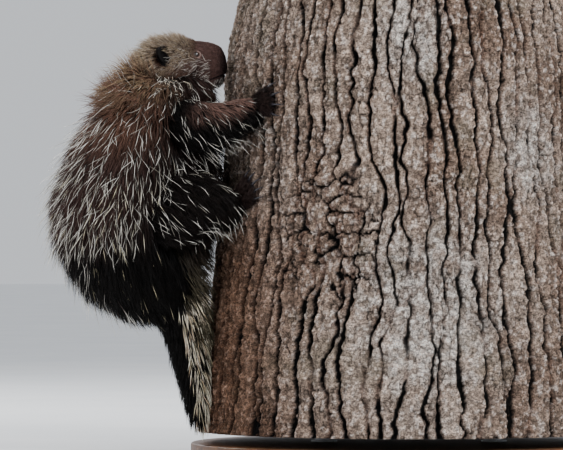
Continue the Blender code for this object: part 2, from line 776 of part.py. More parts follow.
def coat_pieces(skin):
    """Every lock and quill of the coat, laid over the core of the form that it grows from."""
    pieces = []
    for full_name, form in FORMS.items():
        name = full_name.split("_")[0]
        draw = random.Random(f"{SEED} {full_name}")
        for table, steps in ((LOCKS, 3), (QUILLS, 2)):
            if name not in table:
                continue
            first, final, row_gap, gap, lengths, half_width, rise = table[name]
            for root, normal, lie, angle in roots(form, skin, name, first, final, row_gap, gap, draw):
                if name == "head" and near_ear(root):
                    continue
                reach = round_value(lengths, angle) * draw.uniform(0.85, 1.15)
                tilt = math.radians(rise) * draw.uniform(0.8, 1.2)
                points = hair(root, normal, lie, reach, tilt, LOCK_SINK, steps)
                wide = normal.cross(lie) + normal * draw.uniform(-0.35, 0.35)
                broad = half_width * draw.uniform(0.85, 1.15)
                if table is LOCKS:
                    widths = [broad * share for share in (0.75, 1.0, 0.85)]
                    thick = [broad * LOCK_FLATNESS * share for share in (1.3, 1.3, 1.0)]
                    pieces.append(sweep(points, wide, widths, thick, 3))
                else:
                    pieces.append(sweep(points, wide, [broad] * 2, [broad] * 2, 3))
    return pieces


def near_ear(place):
    root = Vector(EAR_ROOT)
    return (Vector((place.x, abs(place.y), place.z)) - root).length < EAR_HALF_WIDTH * 1.4


def leg_form(leg, stations, side):
    """A leg, whose coat fades out towards the paw."""
    return Form(stations, (0.3 * side, 0.9, 0), COAT_DEPTH[leg], LEG_FADE)


def make_animal():
    """The whole animal in one piece with its coat, and the shapes to cut from its face."""
    cores = []
    for name, form in FORMS.items():
        rings, sides = CORE_DETAIL[name.split("_")[0]]
        cores.append(form.mesh(rings, sides, share=CORE_SHARE))
    joined, cut = face_details()
    whole = mesh_object("head", cores[0], PARTS)
    with_shapes(whole, "UNION", cores[1:] + joined + coat_pieces(bvh_of(cores)))
    return whole, cut


def room(start, end, start_sizes, end_sizes, grow=0.0):
    """A straight oval cone that holds one part of the animal: half depths and half widths."""
    axis = (Vector(end) - Vector(start)).normalized()
    side = (Vector((0, 1, 0)) - axis * axis.y).normalized()
    back = axis.cross(side)
    near = Vector(start) - axis * grow
    far = Vector(end) + axis * grow
    points = []
    for place, (deep, wide) in ((near, start_sizes), (far, end_sizes)):
        for j in range(ROOM_SIDES):
            turn = 2 * math.pi * j / ROOM_SIDES
            towards_back = back * (deep + grow) * math.cos(turn)
            points.append(place + towards_back + side * (wide + grow) * math.sin(turn))
    points += [near, far]
    faces = []
    for j in range(ROOM_SIDES):
        n = (j + 1) % ROOM_SIDES
        a, b = ROOM_SIDES + j, ROOM_SIDES + n
        faces += [(j, n, a), (n, b, a)]
        faces += [(2 * ROOM_SIDES, n, j), (2 * ROOM_SIDES + 1, a, b)]
    return points, outward(points, faces)


clear_scene()
TRUNK_FOOT = BASE_THICKNESS + ROD_HEIGHT
PARTS = collection("porcupine")
CLIMBER = bpy.data.objects.new("climber", None)
bpy.context.scene.collection.objects.link(CLIMBER)
CLIMBER.rotation_euler = (0, 0, math.pi + CLIMB_ANGLE)
bpy.context.view_layer.update()

FORMS = {
    "head": Form(HEAD_STATIONS, coat=COAT_DEPTH["head"], fade=HEAD_FADE),
    "neck": Form(NECK_STATIONS, coat=COAT_DEPTH["neck"]),
    "torso": Form(TORSO_STATIONS, coat=COAT_DEPTH["torso"]),
    "tail": Form(TAIL_STATIONS, coat=COAT_DEPTH["tail"]),
    "foreleg_right": leg_form("foreleg", FORELEG_STATIONS, 1),
    "foreleg_left": leg_form("foreleg", mirrored(FORELEG_STATIONS, LEFT_FORELEG_DROP), -1),
    "hindleg_right": leg_form("hindleg", HINDLEG_STATIONS, 1),
    "hindleg_left": leg_form("hindleg", mirrored(HINDLEG_STATIONS, LEFT_HINDLEG_DROP), -1),
}

make_stand()
mesh_object("tree_trunk", trunk_shape(), PARTS, "bark")
animal, cut = make_animal()
for suffix, side, fore_drop, hind_drop in (
    ("right", 1, 0.0, 0.0),
    ("left", -1, LEFT_FORELEG_DROP, LEFT_HINDLEG_DROP),
):
    cut += make_paw("forepaw_" + suffix, side, FOREPAW, fore_drop)
    cut += make_paw("hindfoot_" + suffix, side, HINDFOOT, hind_drop)
    cut.append(make_ear("ear_" + suffix, side))
    make_eye("eye_" + suffix, side)
with_shapes(animal, "DIFFERENCE", cut + [trunk_shape(GAP)])

part_leg(animal, "foreleg_right", 1, 0.0)
part_leg(animal, "foreleg_left", -1, LEFT_FORELEG_DROP)
part_leg(animal, "hindleg_right", 1, 0.0)
part_leg(animal, "hindleg_left", -1, LEFT_HINDLEG_DROP)
split_off(animal, "tail", ROOMS["tail"], "quills")
split_off(animal, "torso", ROOMS["torso"], "coat")
split_off(animal, "neck", ROOMS["neck"], "coat")
keep_largest(animal)
finish_with(animal, "face")
for node in PARTS.objects:
    if node.parent == CLIMBER:
        join_flat_faces(node)
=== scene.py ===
"""A porcupine on a cut length of tree trunk: skin, coat, quills, claws and eyes, the bark and the stand.

The animal is laid out in climbing coordinates: out from the trunk's axis, right across the
animal's body, and up from the floor. climb_to_room turns them round the trunk.
"""

import json
import math

import bpy
import numpy as np
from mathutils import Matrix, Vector
from mathutils.bvhtree import BVHTree

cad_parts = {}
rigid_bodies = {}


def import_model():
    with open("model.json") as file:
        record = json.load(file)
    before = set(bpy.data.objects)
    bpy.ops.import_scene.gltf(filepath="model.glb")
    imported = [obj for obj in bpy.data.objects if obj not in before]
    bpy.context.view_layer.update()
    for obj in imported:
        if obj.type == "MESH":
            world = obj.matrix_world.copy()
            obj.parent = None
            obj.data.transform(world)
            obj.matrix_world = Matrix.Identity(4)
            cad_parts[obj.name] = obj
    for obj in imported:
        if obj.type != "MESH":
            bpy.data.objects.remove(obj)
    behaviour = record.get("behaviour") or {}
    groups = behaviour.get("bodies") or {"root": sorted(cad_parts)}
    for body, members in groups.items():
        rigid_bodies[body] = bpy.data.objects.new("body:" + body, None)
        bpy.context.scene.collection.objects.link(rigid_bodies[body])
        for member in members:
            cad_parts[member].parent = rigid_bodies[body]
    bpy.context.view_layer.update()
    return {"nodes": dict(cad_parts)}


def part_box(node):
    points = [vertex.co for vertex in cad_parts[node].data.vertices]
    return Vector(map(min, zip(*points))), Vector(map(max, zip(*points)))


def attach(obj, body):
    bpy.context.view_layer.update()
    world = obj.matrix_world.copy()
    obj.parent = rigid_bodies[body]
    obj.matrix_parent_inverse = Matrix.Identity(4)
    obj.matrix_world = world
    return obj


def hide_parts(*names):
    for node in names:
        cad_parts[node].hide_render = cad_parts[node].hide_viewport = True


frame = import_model()
SEED = 20

# The view: the photograph's frame, its width in metres at the animal, and its middle.
VIEW_WIDTH = 0.985
VIEW_MIDDLE = (-0.2249, -0.080, 0.4030)
CAMERA_DISTANCE = 9.0
SENSOR_WIDTH = 36.0

# The trunk, as it was drawn for the solids.
CLIMB_ANGLE = math.radians(12)
TRUNK_FOOT = 0.040
TRUNK_LENGTH = 0.783
TRUNK_FOOT_RADIUS = 0.3715
TRUNK_TOP_RADIUS = 0.2930
TRUNK_SWELLING = 0.015
SWELLING_HEIGHT = 0.675
SWELLING_SPREAD = 0.105
BARK_THICKNESS = 0.028
GIRTH = 2 * math.pi * 0.335

# Flesh: stations are (out, right, up, half depth, half width), from the nose to the tail's tip.
HEAD_STATIONS = (
    (0.3300, 0.000, 0.6790, 0.0110, 0.0095),
    (0.3340, 0.000, 0.6792, 0.0215, 0.0165),
    (0.3420, 0.000, 0.6802, 0.0300, 0.0220),
    (0.3530, 0.000, 0.6822, 0.0360, 0.0260),
    (0.3703, 0.000, 0.6841, 0.0385, 0.0300),
    (0.3936, 0.000, 0.6832, 0.0405, 0.0365),
    (0.4168, 0.000, 0.6798, 0.0430, 0.0420),
    (0.4383, 0.000, 0.6710, 0.0430, 0.0420),
    (0.4544, 0.000, 0.6588, 0.0340, 0.0340),
)
NECK_STATIONS = (
    (0.4300, 0.000, 0.6620, 0.0480, 0.0440),
    (0.4300, 0.000, 0.6430, 0.0660, 0.0540),
    (0.4370, 0.000, 0.6220, 0.0750, 0.0640),
    (0.4435, 0.000, 0.6010, 0.0815, 0.0720),
    (0.4470, 0.000, 0.5835, 0.0650, 0.0620),
)
TORSO_STATIONS = (
    (0.4450, 0.000, 0.6115, 0.0620, 0.0580),
    (0.4450, 0.000, 0.5958, 0.0810, 0.0720),
    (0.4543, 0.000, 0.5608, 0.0920, 0.0830),
    (0.4669, 0.000, 0.5170, 0.1045, 0.0950),
    (0.4786, 0.000, 0.4645, 0.1160, 0.1050),
    (0.4848, 0.000, 0.4208, 0.1195, 0.1080),
    (0.4777, 0.000, 0.3770, 0.1100, 0.1000),
    (0.4616, 0.000, 0.3385, 0.0890, 0.0830),
    (0.4383, 0.000, 0.3035, 0.0640, 0.0600),
    (0.4240, 0.000, 0.2825, 0.0450, 0.0440),
)
TAIL_STATIONS = (
    (0.4258, 0.000, 0.2930, 0.0420, 0.0400),
    (0.4150, 0.000, 0.2720, 0.0400, 0.0410),
    (0.4025, 0.000, 0.2230, 0.0305, 0.0350),
    (0.3918, 0.004, 0.1705, 0.0235, 0.0290),
    (0.3850, 0.015, 0.1180, 0.0165, 0.0220),
    (0.3818, 0.025, 0.0760, 0.0100, 0.0140),
    (0.3812, 0.028, 0.0605, 0.0060, 0.0085),
)
FORELEG_STATIONS = (
    (0.4482, 0.045, 0.5783, 0.0340, 0.0260),
    (0.4233, 0.072, 0.5800, 0.0380, 0.0300),
    (0.3966, 0.098, 0.5800, 0.0340, 0.0280),
    (0.3707, 0.118, 0.5853, 0.0270, 0.0240),
    (0.3457, 0.128, 0.5940, 0.0210, 0.0200),
    (0.3220, 0.134, 0.6028, 0.0170, 0.0160),
    (0.3075, 0.131, 0.6089, 0.0135, 0.0120),
)
HINDLEG_STATIONS = (
    (0.4938, 0.050, 0.3980, 0.0600, 0.0400),
    (0.4633, 0.075, 0.4208, 0.0600, 0.0440),
    (0.4328, 0.100, 0.4383, 0.0520, 0.0380),
    (0.4044, 0.118, 0.4453, 0.0400, 0.0320),
    (0.3754, 0.116, 0.4400, 0.0300, 0.0260),
    (0.3506, 0.101, 0.4313, 0.0220, 0.0200),
    (0.3328, 0.083, 0.4243, 0.0160, 0.0140),
)
LEFT_FORELEG_DROP = 0.018
LEFT_HINDLEG_DROP = 0.022

# Paws: wrist angle round the trunk, wrist height, heading above level, sole, width, digits.
FOREPAW = (math.radians(23), 0.6098, math.radians(10), 0.034, 0.034, 4)
HINDFOOT = (math.radians(14), 0.4260, math.radians(42), 0.054, 0.040, 5)
PALM_SECTIONS = ((-0.32, 0.52, 0.90), (0.25, 0.80, 1.0), (0.80, 1.0, 0.90), (1.0, 0.8, 0.6))
PAW_THICKNESS = 0.020
DIGIT_LENGTH = 0.018
DIGIT_RADIUS = 0.0058
DIGIT_FAN = 0.50
CLAW_LENGTH = 0.022
CLAW_RADIUS = 0.0030

# The face.
EYE_PLACE = (0.3890, 0.0284, 0.6999)
EYE_LOOK = (-0.42, 0.88, 0.20)
EYE_RADIUS = 0.0060
EYE_OPENING = (0.0053, 0.0047)
LID_RISE = 0.0013
SOCKET_DEPTH = 0.0060
NOSTRIL_PLACE = (0.3290, 0.0062, 0.6895)
NOSTRIL_RADIUS = 0.0026
MOUTH_LINE = ((0.3610, 0.6565), (0.3470, 0.6620), (0.3360, 0.6660), (0.3200, 0.6675))
EAR_ROOT = (0.4400, 0.0325, 0.6900)
EAR_DIRECTION = (0.58, 0.46, 0.67)
EAR_FACING = (-0.50, 0.86, -0.05)
EAR_LENGTH = 0.030
EAR_HALF_WIDTH = 0.0135
EAR_HALF_THICKNESS = 0.0040
EAR_SECTIONS = ((-0.30, 0.55), (0.1, 0.85), (0.5, 1.0), (0.8, 0.82), (0.97, 0.42))

DOWN = np.array((0.0, 0.0, -1.0))
PATCH = 0.003


def paint(red, green, blue):
    """A colour as it looks on a screen, from 0 to 255, as linear light."""
    return (np.array((red, green, blue)) / 255) ** 2.2


BLACK_HAIR = paint(15, 12, 11)
DARK_BROWN = paint(34, 26, 23)
PLUM_BROWN = paint(66, 50, 46)
RED_BROWN = paint(98, 72, 60)
GOLDEN = paint(216, 190, 148)
CREAM = paint(244, 240, 230)
STRAW = paint(232, 220, 182)
RUST = paint(184, 134, 84)
OLIVE_GREY = paint(112, 104, 84)
WHITE_HAIR = paint(246, 244, 240)
FACE_BROWN = paint(80, 60, 56)
MUZZLE_DARK = paint(38, 28, 28)
PAW_BROWN = paint(24, 18, 17)


# Numbers in rows


def unit(rows):
    return rows / np.maximum(np.linalg.norm(rows, axis=-1, keepdims=True), 1e-12)


def dots(a, b):
    return np.sum(a * b, axis=-1, keepdims=True)


def ramp(value, low, high):
    """Rises smoothly from 0 at low to 1 at high."""
    share = np.clip((value - low) / (high - low), 0, 1)
    return share * share * (3 - 2 * share)


def mix(a, b, share):
    share = np.asarray(share)[..., None]
    return a * (1 - share) + b * share


def climb_to_room(points):
    turn = math.pi + CLIMB_ANGLE
    x = points[:, 0] * math.cos(turn) - points[:, 1] * math.sin(turn)
    y = points[:, 0] * math.sin(turn) + points[:, 1] * math.cos(turn)
    return np.column_stack((x, y, points[:, 2]))


def trunk_radius(up):
    """The bark's mean distance from the trunk's axis at this height."""
    share = (up - TRUNK_FOOT) / TRUNK_LENGTH
    swelling = TRUNK_SWELLING * np.exp(-(((up - SWELLING_HEIGHT) / SWELLING_SPREAD) ** 2))
    return TRUNK_FOOT_RADIUS + (TRUNK_TOP_RADIUS - TRUNK_FOOT_RADIUS) * share + swelling


# Flesh


class Form:
    """A length of flesh: oval sections along a smooth line through its stations."""

    def __init__(self, stations, across=(0, 1, 0), side=1, drop=0.0):
        self.stations = np.array(stations, float)
        self.last = len(stations) - 1
        self.stations[:, 1] *= side
        self.stations[:, 2] -= drop * np.arange(self.last + 1) / self.last
        self.across = np.array(across, float)

    def values(self, s):
        """Out, right, up, half depth and half width at each s, by a Catmull-Rom curve."""
        s = np.clip(s, 0, self.last)
        i = np.minimum(s.astype(int), self.last - 1)
        t = (s - i)[:, None]
        a, b, c, d = (self.stations[np.clip(i + k, 0, self.last)] for k in (-1, 0, 1, 2))
        bend = (2 * a - 5 * b + 4 * c - d) * t**2 + (3 * b - a - 3 * c + d) * t**3
        return 0.5 * (2 * b + (c - a) * t + bend)

    def frame(self, s):
        """Centre, direction along, to the back and to the side, and the half sizes."""
        step = 0.02
        now = self.values(s)
        along = unit(self.values(s + step)[:, :3] - self.values(s - step)[:, :3])
        side = unit(self.across - along * dots(along, self.across))
        return now[:, :3], along, np.cross(along, side), side, now[:, 3:4], now[:, 4:5]

    def at(self, s, angle):
        centre, _, back, side, depth, width = self.frame(s)
        return centre + back * depth * np.cos(angle)[:, None] + side * width * np.sin(angle)[:, None]

    def surface(self, s, angle):
        """Points, outward normals and directions along the surface towards the far end."""
        step = 0.04
        point = self.at(s, angle)
        along = self.at(np.minimum(s + step, self.last), angle) - self.at(np.maximum(s - step, 0), angle)
        around = self.at(s, angle + step) - self.at(s, angle - step)
        return point, unit(np.cross(along, around)), unit(along)

    def spacing(self, s, angle):
        """Metres for one unit of s, and for one radian round, at each place."""
        step = 0.05
        along = self.at(s + step, angle) - self.at(s - step, angle)
        around = self.at(s, angle + step) - self.at(s, angle - step)
        span = np.clip(s + step, 0, self.last) - np.clip(s - step, 0, self.last)
        return np.linalg.norm(along, axis=1) / span, np.linalg.norm(around, axis=1) / (2 * step)

    def mesh(self, rings, sides, cap=0.3, shaped=None):
        """Points and faces of the closed form, its ends rounded by a pole."""
        s = np.repeat(self.last * np.arange(rings) / (rings - 1), sides)
        angle = np.tile(2 * np.pi * np.arange(sides) / sides, rings)
        points = self.at(s, angle)
        if shaped:
            points = shaped(points, self.surface(s, angle)[1])
        ends = self.frame(np.array((0.0, float(self.last))))
        poles = ends[0] + ends[1] * ends[4] * cap * np.array((-1, 1))[:, None]
        points = np.vstack((points, poles))
        return points, tube_faces(rings, sides, len(points) - 2, len(points) - 1)


def tube_faces(rings, sides, first_pole, last_pole):
    """Faces of rings of points in a row, each end closed by a fan to its pole."""
    i, j = np.meshgrid(np.arange(rings - 1), np.arange(sides), indexing="ij")
    a = (i * sides + j).ravel()
    b = (i * sides + (j + 1) % sides).ravel()
    faces = np.column_stack((a, a + sides, b + sides, b)).tolist()
    top = (rings - 1) * sides
    for k in range(sides):
        faces.append((first_pole, k, (k + 1) % sides))
        faces.append((last_pole, top + (k + 1) % sides, top + k))
    return faces


def leg_form(stations, side, drop):
    return Form(stations, (0.3 * side, 0.9, 0), side, drop)


FORMS = {
    "head": Form(HEAD_STATIONS),
    "neck": Form(NECK_STATIONS),
    "torso": Form(TORSO_STATIONS),
    "tail": Form(TAIL_STATIONS),
    "foreleg_right": leg_form(FORELEG_STATIONS, 1, 0.0),
    "foreleg_left": leg_form(FORELEG_STATIONS, -1, LEFT_FORELEG_DROP),
    "hindleg_right": leg_form(HINDLEG_STATIONS, 1, 0.0),
    "hindleg_left": leg_form(HINDLEG_STATIONS, -1, LEFT_HINDLEG_DROP),
}
SIDES = (("right", 1, 0.0, 0.0), ("left", -1, LEFT_FORELEG_DROP, LEFT_HINDLEG_DROP))


# Objects and materials


def nothing_selected():
    bpy.ops.object.select_all(action="DESELECT")


def mesh_object(name, points, faces, smooth=True):
    """A new mesh object of these points, which are in the room's coordinates."""
    mesh = bpy.data.meshes.new(name)
    mesh.from_pydata(np.asarray(points).tolist(), [], faces)
    mesh.update()
    if smooth:
        mesh.shade_smooth()
    made = bpy.data.objects.new(name, mesh)
    bpy.context.scene.collection.objects.link(made)
    return made


def settle(made, name, material, slot, *nodes):
    """Names a finished piece, gives it its finish, and says which solids it stands for."""
    made.name = name
    made.data.name = name
    made.data.materials.clear()
    made.data.materials.append(material)
    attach(made, "root")
    if nodes:
        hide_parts(*nodes)
    return made


def colour_points(mesh, colours):
    """Paints the points of a mesh with a colour attribute that its material reads."""
    layer = mesh.color_attributes.new("tone", "FLOAT_COLOR", "POINT")
    rows = np.ones((len(mesh.vertices), 4), np.float32)
    rows[:, :3] = colours
    layer.data.foreach_set("color", rows.ravel())


class Shader:
    """A material under construction, with short ways to add and join its nodes."""

    def __init__(self, name, roughness=0.6, metallic=0.0):
        self.material = bpy.data.materials.new(name)
        self.material.use_nodes = True
        self.tree = self.material.node_tree
        self.main = self.tree.nodes["Principled BSDF"]
        self.main.inputs["Roughness"].default_value = roughness
        self.main.inputs["Metallic"].default_value = metallic
        self.place = self.tree.nodes.new("ShaderNodeTexCoord").outputs["Object"]

    def node(self, kind, **inputs):
        made = self.tree.nodes.new(kind)
        for name, value in inputs.items():
            self.feed(made.inputs[name.replace("_", " ")], value)
        return made

    def feed(self, socket, value):
        if isinstance(value, bpy.types.NodeSocket):
            self.tree.links.new(value, socket)
        else:
            socket.default_value = value

    def stretched(self, scale):
        return self.node("ShaderNodeMapping", Vector=self.place, Scale=scale).outputs["Vector"]

    def noise(self, scale, detail=4.0, place=None, roughness=0.6):
        made = self.node("ShaderNodeTexNoise", Vector=place or self.place, Scale=scale, Detail=detail)
        made.inputs["Roughness"].default_value = roughness
        return made.outputs["Fac"]

    def span(self, value, low, high, from_low=0.3, from_high=0.7):
        """The value, spread from one span to another."""
        made = self.node("ShaderNodeMapRange", Value=value)
        for name, number in zip(("From Min", "From Max", "To Min", "To Max"),
                (from_low, from_high, low, high)):
            made.inputs[name].default_value = number
        return made.outputs["Result"]

    def blend(self, share, a, b, kind="MIX"):
        made = self.tree.nodes.new("ShaderNodeMix")
        made.data_type = "RGBA"
        made.blend_type = kind
        self.feed(made.inputs[0], share)
        self.feed(made.inputs[6], a)
        self.feed(made.inputs[7], b)
        return made.outputs[2]

    def darker(self, colour, value):
        """The colour multiplied by a value."""
        made = self.tree.nodes.new("ShaderNodeVectorMath")
        made.operation = "SCALE"
        self.feed(made.inputs[0], colour)
        self.feed(made.inputs["Scale"], value)
        return made.outputs["Vector"]

    def tone(self):
        made = self.tree.nodes.new("ShaderNodeAttribute")
        made.attribute_name = "tone"
        return made.outputs["Color"]

    def bump(self, height, distance, strength=1.0):
        made = self.node("ShaderNodeBump", Height=height, Distance=distance, Strength=strength)
        self.feed(self.main.inputs["Normal"], made.outputs["Normal"])


def solid(colour):
    return (*colour, 1.0)


def hair_material(name, roughness, gloss):
    """Hair: its painted tone, broken up by fine streaks, with a soft gloss."""
    shader = Shader(name, roughness)
    streaks = shader.noise(420, 3, shader.stretched((1, 1, 0.35)))
    shader.feed(shader.main.inputs["Base Color"],
            shader.darker(shader.tone(), shader.span(streaks, 0.72, 1.28)))
    shader.main.inputs["Specular IOR Level"].default_value = gloss
    shader.bump(shader.noise(900, 2, shader.stretched((1, 1, 0.25))), 0.0003, 0.5)
    return shader.material


def skin_material():
    """Short fur close to the skin: mottled, with the nap as fine relief."""
    shader = Shader("short_fur", 0.85)
    nap = shader.noise(760, 5, shader.stretched((0.45, 1, 1)), 0.7)
    mottle = shader.noise(90, 4)
    tone = shader.darker(shader.tone(), shader.span(nap, 0.60, 1.35))
    shader.feed(shader.main.inputs["Base Color"], shader.darker(tone, shader.span(mottle, 0.82, 1.20)))
    shader.feed(shader.main.inputs["Roughness"], shader.span(nap, 0.70, 0.95))
    shader.main.inputs["Specular IOR Level"].default_value = 0.18
    shader.bump(nap, 0.0011, 0.8)
    return shader.material


def bark_material():
    """Bark: its painted tone under grey flakes, brown pits and rough grain."""
    shader = Shader("rough_bark", 0.92)
    grain = shader.noise(310, 9, shader.stretched((1, 1, 1.25)), 0.80)
    flakes = shader.noise(130, 6, shader.stretched((1, 1, 1.6)), 0.70)
    specks = shader.node("ShaderNodeTexVoronoi", Vector=shader.place, Scale=360.0).outputs["Distance"]
    tone = shader.darker(shader.tone(), shader.span(grain, 0.16, 2.05, 0.37, 0.63))
    tone = shader.darker(tone, shader.span(flakes, 0.60, 1.45, 0.39, 0.61))
    pits = shader.span(specks, 0.45, 1.12, 0.08, 0.40)
    shader.feed(shader.main.inputs["Base Color"], shader.darker(tone, pits))
    shader.feed(shader.main.inputs["Roughness"], shader.span(grain, 0.82, 0.98))
    shader.main.inputs["Specular IOR Level"].default_value = 0.20
    heights = shader.node("ShaderNodeMath", Value=grain)
    heights.operation = "ADD"
    shader.feed(heights.inputs[1], shader.span(flakes, 0.0, 1.2))
    shader.bump(heights.outputs[0], 0.0055, 1.0)
    return shader.material


def sawn_material():
    """A sawn end: year rings in pale wood, with saw marks across it."""
    shader = Shader("sawn_wood", 0.75)
    wander = shader.noise(9, 4)
    rings = shader.node("ShaderNodeTexWave", Scale=46.0, Distortion=3.2, Detail=4.0)
    rings.wave_type = "RINGS"
    rings.rings_direction = "Z"
    rings.inputs["Detail Scale"].default_value = 0.6
    shader.feed(rings.inputs["Vector"], shader.place)
    pale, dark = solid(paint(196, 160, 116)), solid(paint(132, 92, 58))
    wood = shader.blend(shader.span(rings.outputs["Fac"], 0, 1, 0.2, 0.9), pale, dark)
    wood = shader.darker(wood, shader.span(wander, 0.75, 1.15))
    shader.feed(shader.main.inputs["Base Color"], wood)
    shader.bump(shader.noise(260, 4, shader.stretched((0.15, 1, 1))), 0.0006, 0.7)
    return shader.material


def board_material():
    """Dark stained board: long grain, darker pores, a satin finish."""
    shader = Shader("stained_board", 0.42)
    grain = shader.noise(60, 6, shader.stretched((0.12, 1, 1)), 0.62)
    pores = shader.noise(420, 4, shader.stretched((0.10, 1, 1)), 0.7)
    light, dark = solid(paint(116, 78, 50)), solid(paint(62, 40, 26))
    wood = shader.blend(shader.span(grain, 0, 1, 0.35, 0.65), dark, light)
    wood = shader.darker(wood, shader.span(pores, 0.7, 1.1))
    shader.feed(shader.main.inputs["Base Color"], wood)
    shader.feed(shader.main.inputs["Roughness"], shader.span(pores, 0.34, 0.55))
    shader.bump(pores, 0.0004, 0.5)
    return shader.material


def steel_material():
    shader = Shader("brushed_steel", 0.34, 1.0)
    brushing = shader.noise(900, 3, shader.stretched((1, 1, 0.04)))
    shader.main.inputs["Base Color"].default_value = solid(paint(176, 177, 180))
    shader.feed(shader.main.inputs["Roughness"], shader.span(brushing, 0.24, 0.46))
    shader.bump(brushing, 0.0001, 0.5)
    return shader.material


def claw_material():
    """Dark horn with paler lengthwise lines."""
    shader = Shader("claw_horn", 0.26)
    lines = shader.noise(500, 4, shader.stretched((1, 1, 0.3)))
    horn = shader.blend(shader.span(lines, 0, 1), solid(paint(18, 17, 20)), solid(paint(52, 48, 54)))
    shader.feed(shader.main.inputs["Base Color"], horn)
    shader.feed(shader.main.inputs["Roughness"], shader.span(lines, 0.18, 0.38))
    shader.bump(lines, 0.0003, 0.5)
    return shader.material


def eye_material():
    """A wet dark eye, flecked a little with brown."""
    shader = Shader("wet_eye", 0.05)
    rays = shader.noise(700, 3)
    tint = shader.blend(shader.span(rays, 0, 1), solid(paint(12, 10, 12)), solid(paint(38, 26, 22)))
    shader.feed(shader.main.inputs["Base Color"], tint)
    shader.main.inputs["Coat Weight"].default_value = 1.0
    shader.main.inputs["Coat Roughness"].default_value = 0.02
    return shader.material


def floor_material():
    shader = Shader("studio_floor", 0.9)
    dust = shader.noise(3, 3)
    pale = shader.blend(shader.span(dust, 0, 1), solid(paint(232, 234, 236)), solid(paint(240, 241, 242)))
    shader.feed(shader.main.inputs["Base Color"], pale)
    return shader.material


# Bark


def lattice(u, v, width, height, seed):
    """Smooth noise from -1 to 1 in cells of this size; it closes on itself round the trunk."""
    columns = max(1, round(GIRTH / width))
    x = u / GIRTH * columns
    y = v / height + 50
    table = np.random.default_rng(seed).uniform(-1, 1, (257, columns))
    i = np.floor(y).astype(int)
    j = np.floor(x).astype(int)
    fy, fx = y - i, x - j
    fy, fx = fy * fy * (3 - 2 * fy), fx * fx * (3 - 2 * fx)
    low = table[i % 257, j % columns] * (1 - fx) + table[i % 257, (j + 1) % columns] * fx
    high = table[(i + 1) % 257, j % columns] * (1 - fx) + table[(i + 1) % 257, (j + 1) % columns] * fx
    return low * (1 - fy) + high * fy


def layered(u, v, width, height, seed, layers=3):
    """Noise in layers, each of half the size and strength of the one before."""
    total = 0.0
    for k in range(layers):
        total = total + lattice(u, v, width / 2**k, height / 2**k, seed + k) / 2**k
    return total


def furrows(u, v, spacing, seed):
    """Long wavering furrows: how far each place is from the nearest one, and its ridge's number."""
    columns = round(GIRTH / spacing)
    x = u / GIRTH * columns
    draw = np.random.default_rng(seed)
    wobble = draw.uniform(-1, 1, (3, 64, columns))
    number = draw.random(columns)
    j = np.floor(x).astype(int)
    nearest = np.full(x.shape, 9.0)
    ridge = np.zeros(x.shape)
    for across in (-1, 0, 1, 2):
        line = j + across
        place = line.astype(float)
        for layer, (length, size) in enumerate(((0.150, 0.42), (0.052, 0.20), (0.017, 0.10))):
            y = v / length + 4
            i = np.floor(y).astype(int)
            share = (y - i) * (y - i) * (3 - 2 * (y - i))
            low, high = wobble[layer, i % 64, line % columns], wobble[layer, (i + 1) % 64, line % columns]
            place = place + size * (low * (1 - share) + high * share)
        distance = np.abs(x - place) * GIRTH / columns
        ridge = np.where(distance < nearest, number[(line + (x > place)) % columns], ridge)
        nearest = np.minimum(nearest, distance)
    return nearest, ridge


def plates(u, v, width, height, seed):
    """Irregular plates: distance from each plate's edge, the plate's number, and its tilt there."""
    columns = round(GIRTH / width)
    x = u / GIRTH * columns
    y = v / height + 50
    draw = np.random.default_rng(seed)
    jitter = draw.uniform(0.10, 0.90, (301, columns, 2))
    number = draw.random((301, columns))
    i = np.floor(y).astype(int)
    j = np.floor(x).astype(int)
    nearest = np.full(x.shape, 9.0)
    second = np.full(x.shape, 9.0)
    found = np.zeros(x.shape)
    tilt = np.zeros(x.shape)
    for down in (-1, 0, 1):
        for across in (-1, 0, 1):
            row, column = (i + down) % 301, (j + across) % columns
            dx = j + across + jitter[row, column, 0] - x
            dy = i + down + jitter[row, column, 1] - y
            distance = np.hypot(dx, dy)
            closer = distance < nearest
            second = np.where(closer, nearest, np.minimum(second, distance))
            own = number[row, column]
            found = np.where(closer, own, found)
            tilt = np.where(closer, np.cos(40 * own) * dx + np.sin(40 * own) * dy, tilt)
            nearest = np.where(closer, distance, nearest)
    return second - nearest, found, tilt


# Marks on the bark: across from the trunk's middle, height, and their half sizes.
KNOT = (-0.098, 0.4510, 0.050, 0.050)
SCAR = (-0.140, 0.3850, 0.085, 0.115)
PALE_MARKS = ((0.026, 0.2450, 0.105, 0.140), (-0.009, 0.7250, 0.045, 0.070), (0.201, 0.5290, 0.036, 0.070))


BARK_ROWS = 262

BARK_PIECES = (("bark_front", -93, 12, 372), ("bark_right", 12, 63, 181), ("bark_back", 63, 165, 70),
        ("bark_left", 165, 267, 70))


def ear_form(side):
    """An ear's rounded shell, with its root and the directions along, across and in front of it."""
    root, lean = mirrored(EAR_ROOT, side), unit(mirrored(EAR_DIRECTION, side))
    forward = mirrored(EAR_FACING, side)
    wide = unit(np.cross(lean, forward))
    facing = np.cross(wide, lean)
    facing = facing * np.sign(facing @ forward)
    stations = []
    for share, broad in EAR_SECTIONS:
        thick = EAR_HALF_THICKNESS * (1.2 - 0.4 * share)
        stations.append((*(root + lean * EAR_LENGTH * share), thick, EAR_HALF_WIDTH * broad))
    return Form(stations, wide), root, lean, wide, facing


def mark_share(x, front, up, mark):
    across, height, half_width, half_height = mark
    square = ((x - across) / half_width) ** 2 + ((up - height) / half_height) ** 2
    return np.exp(-square) * front


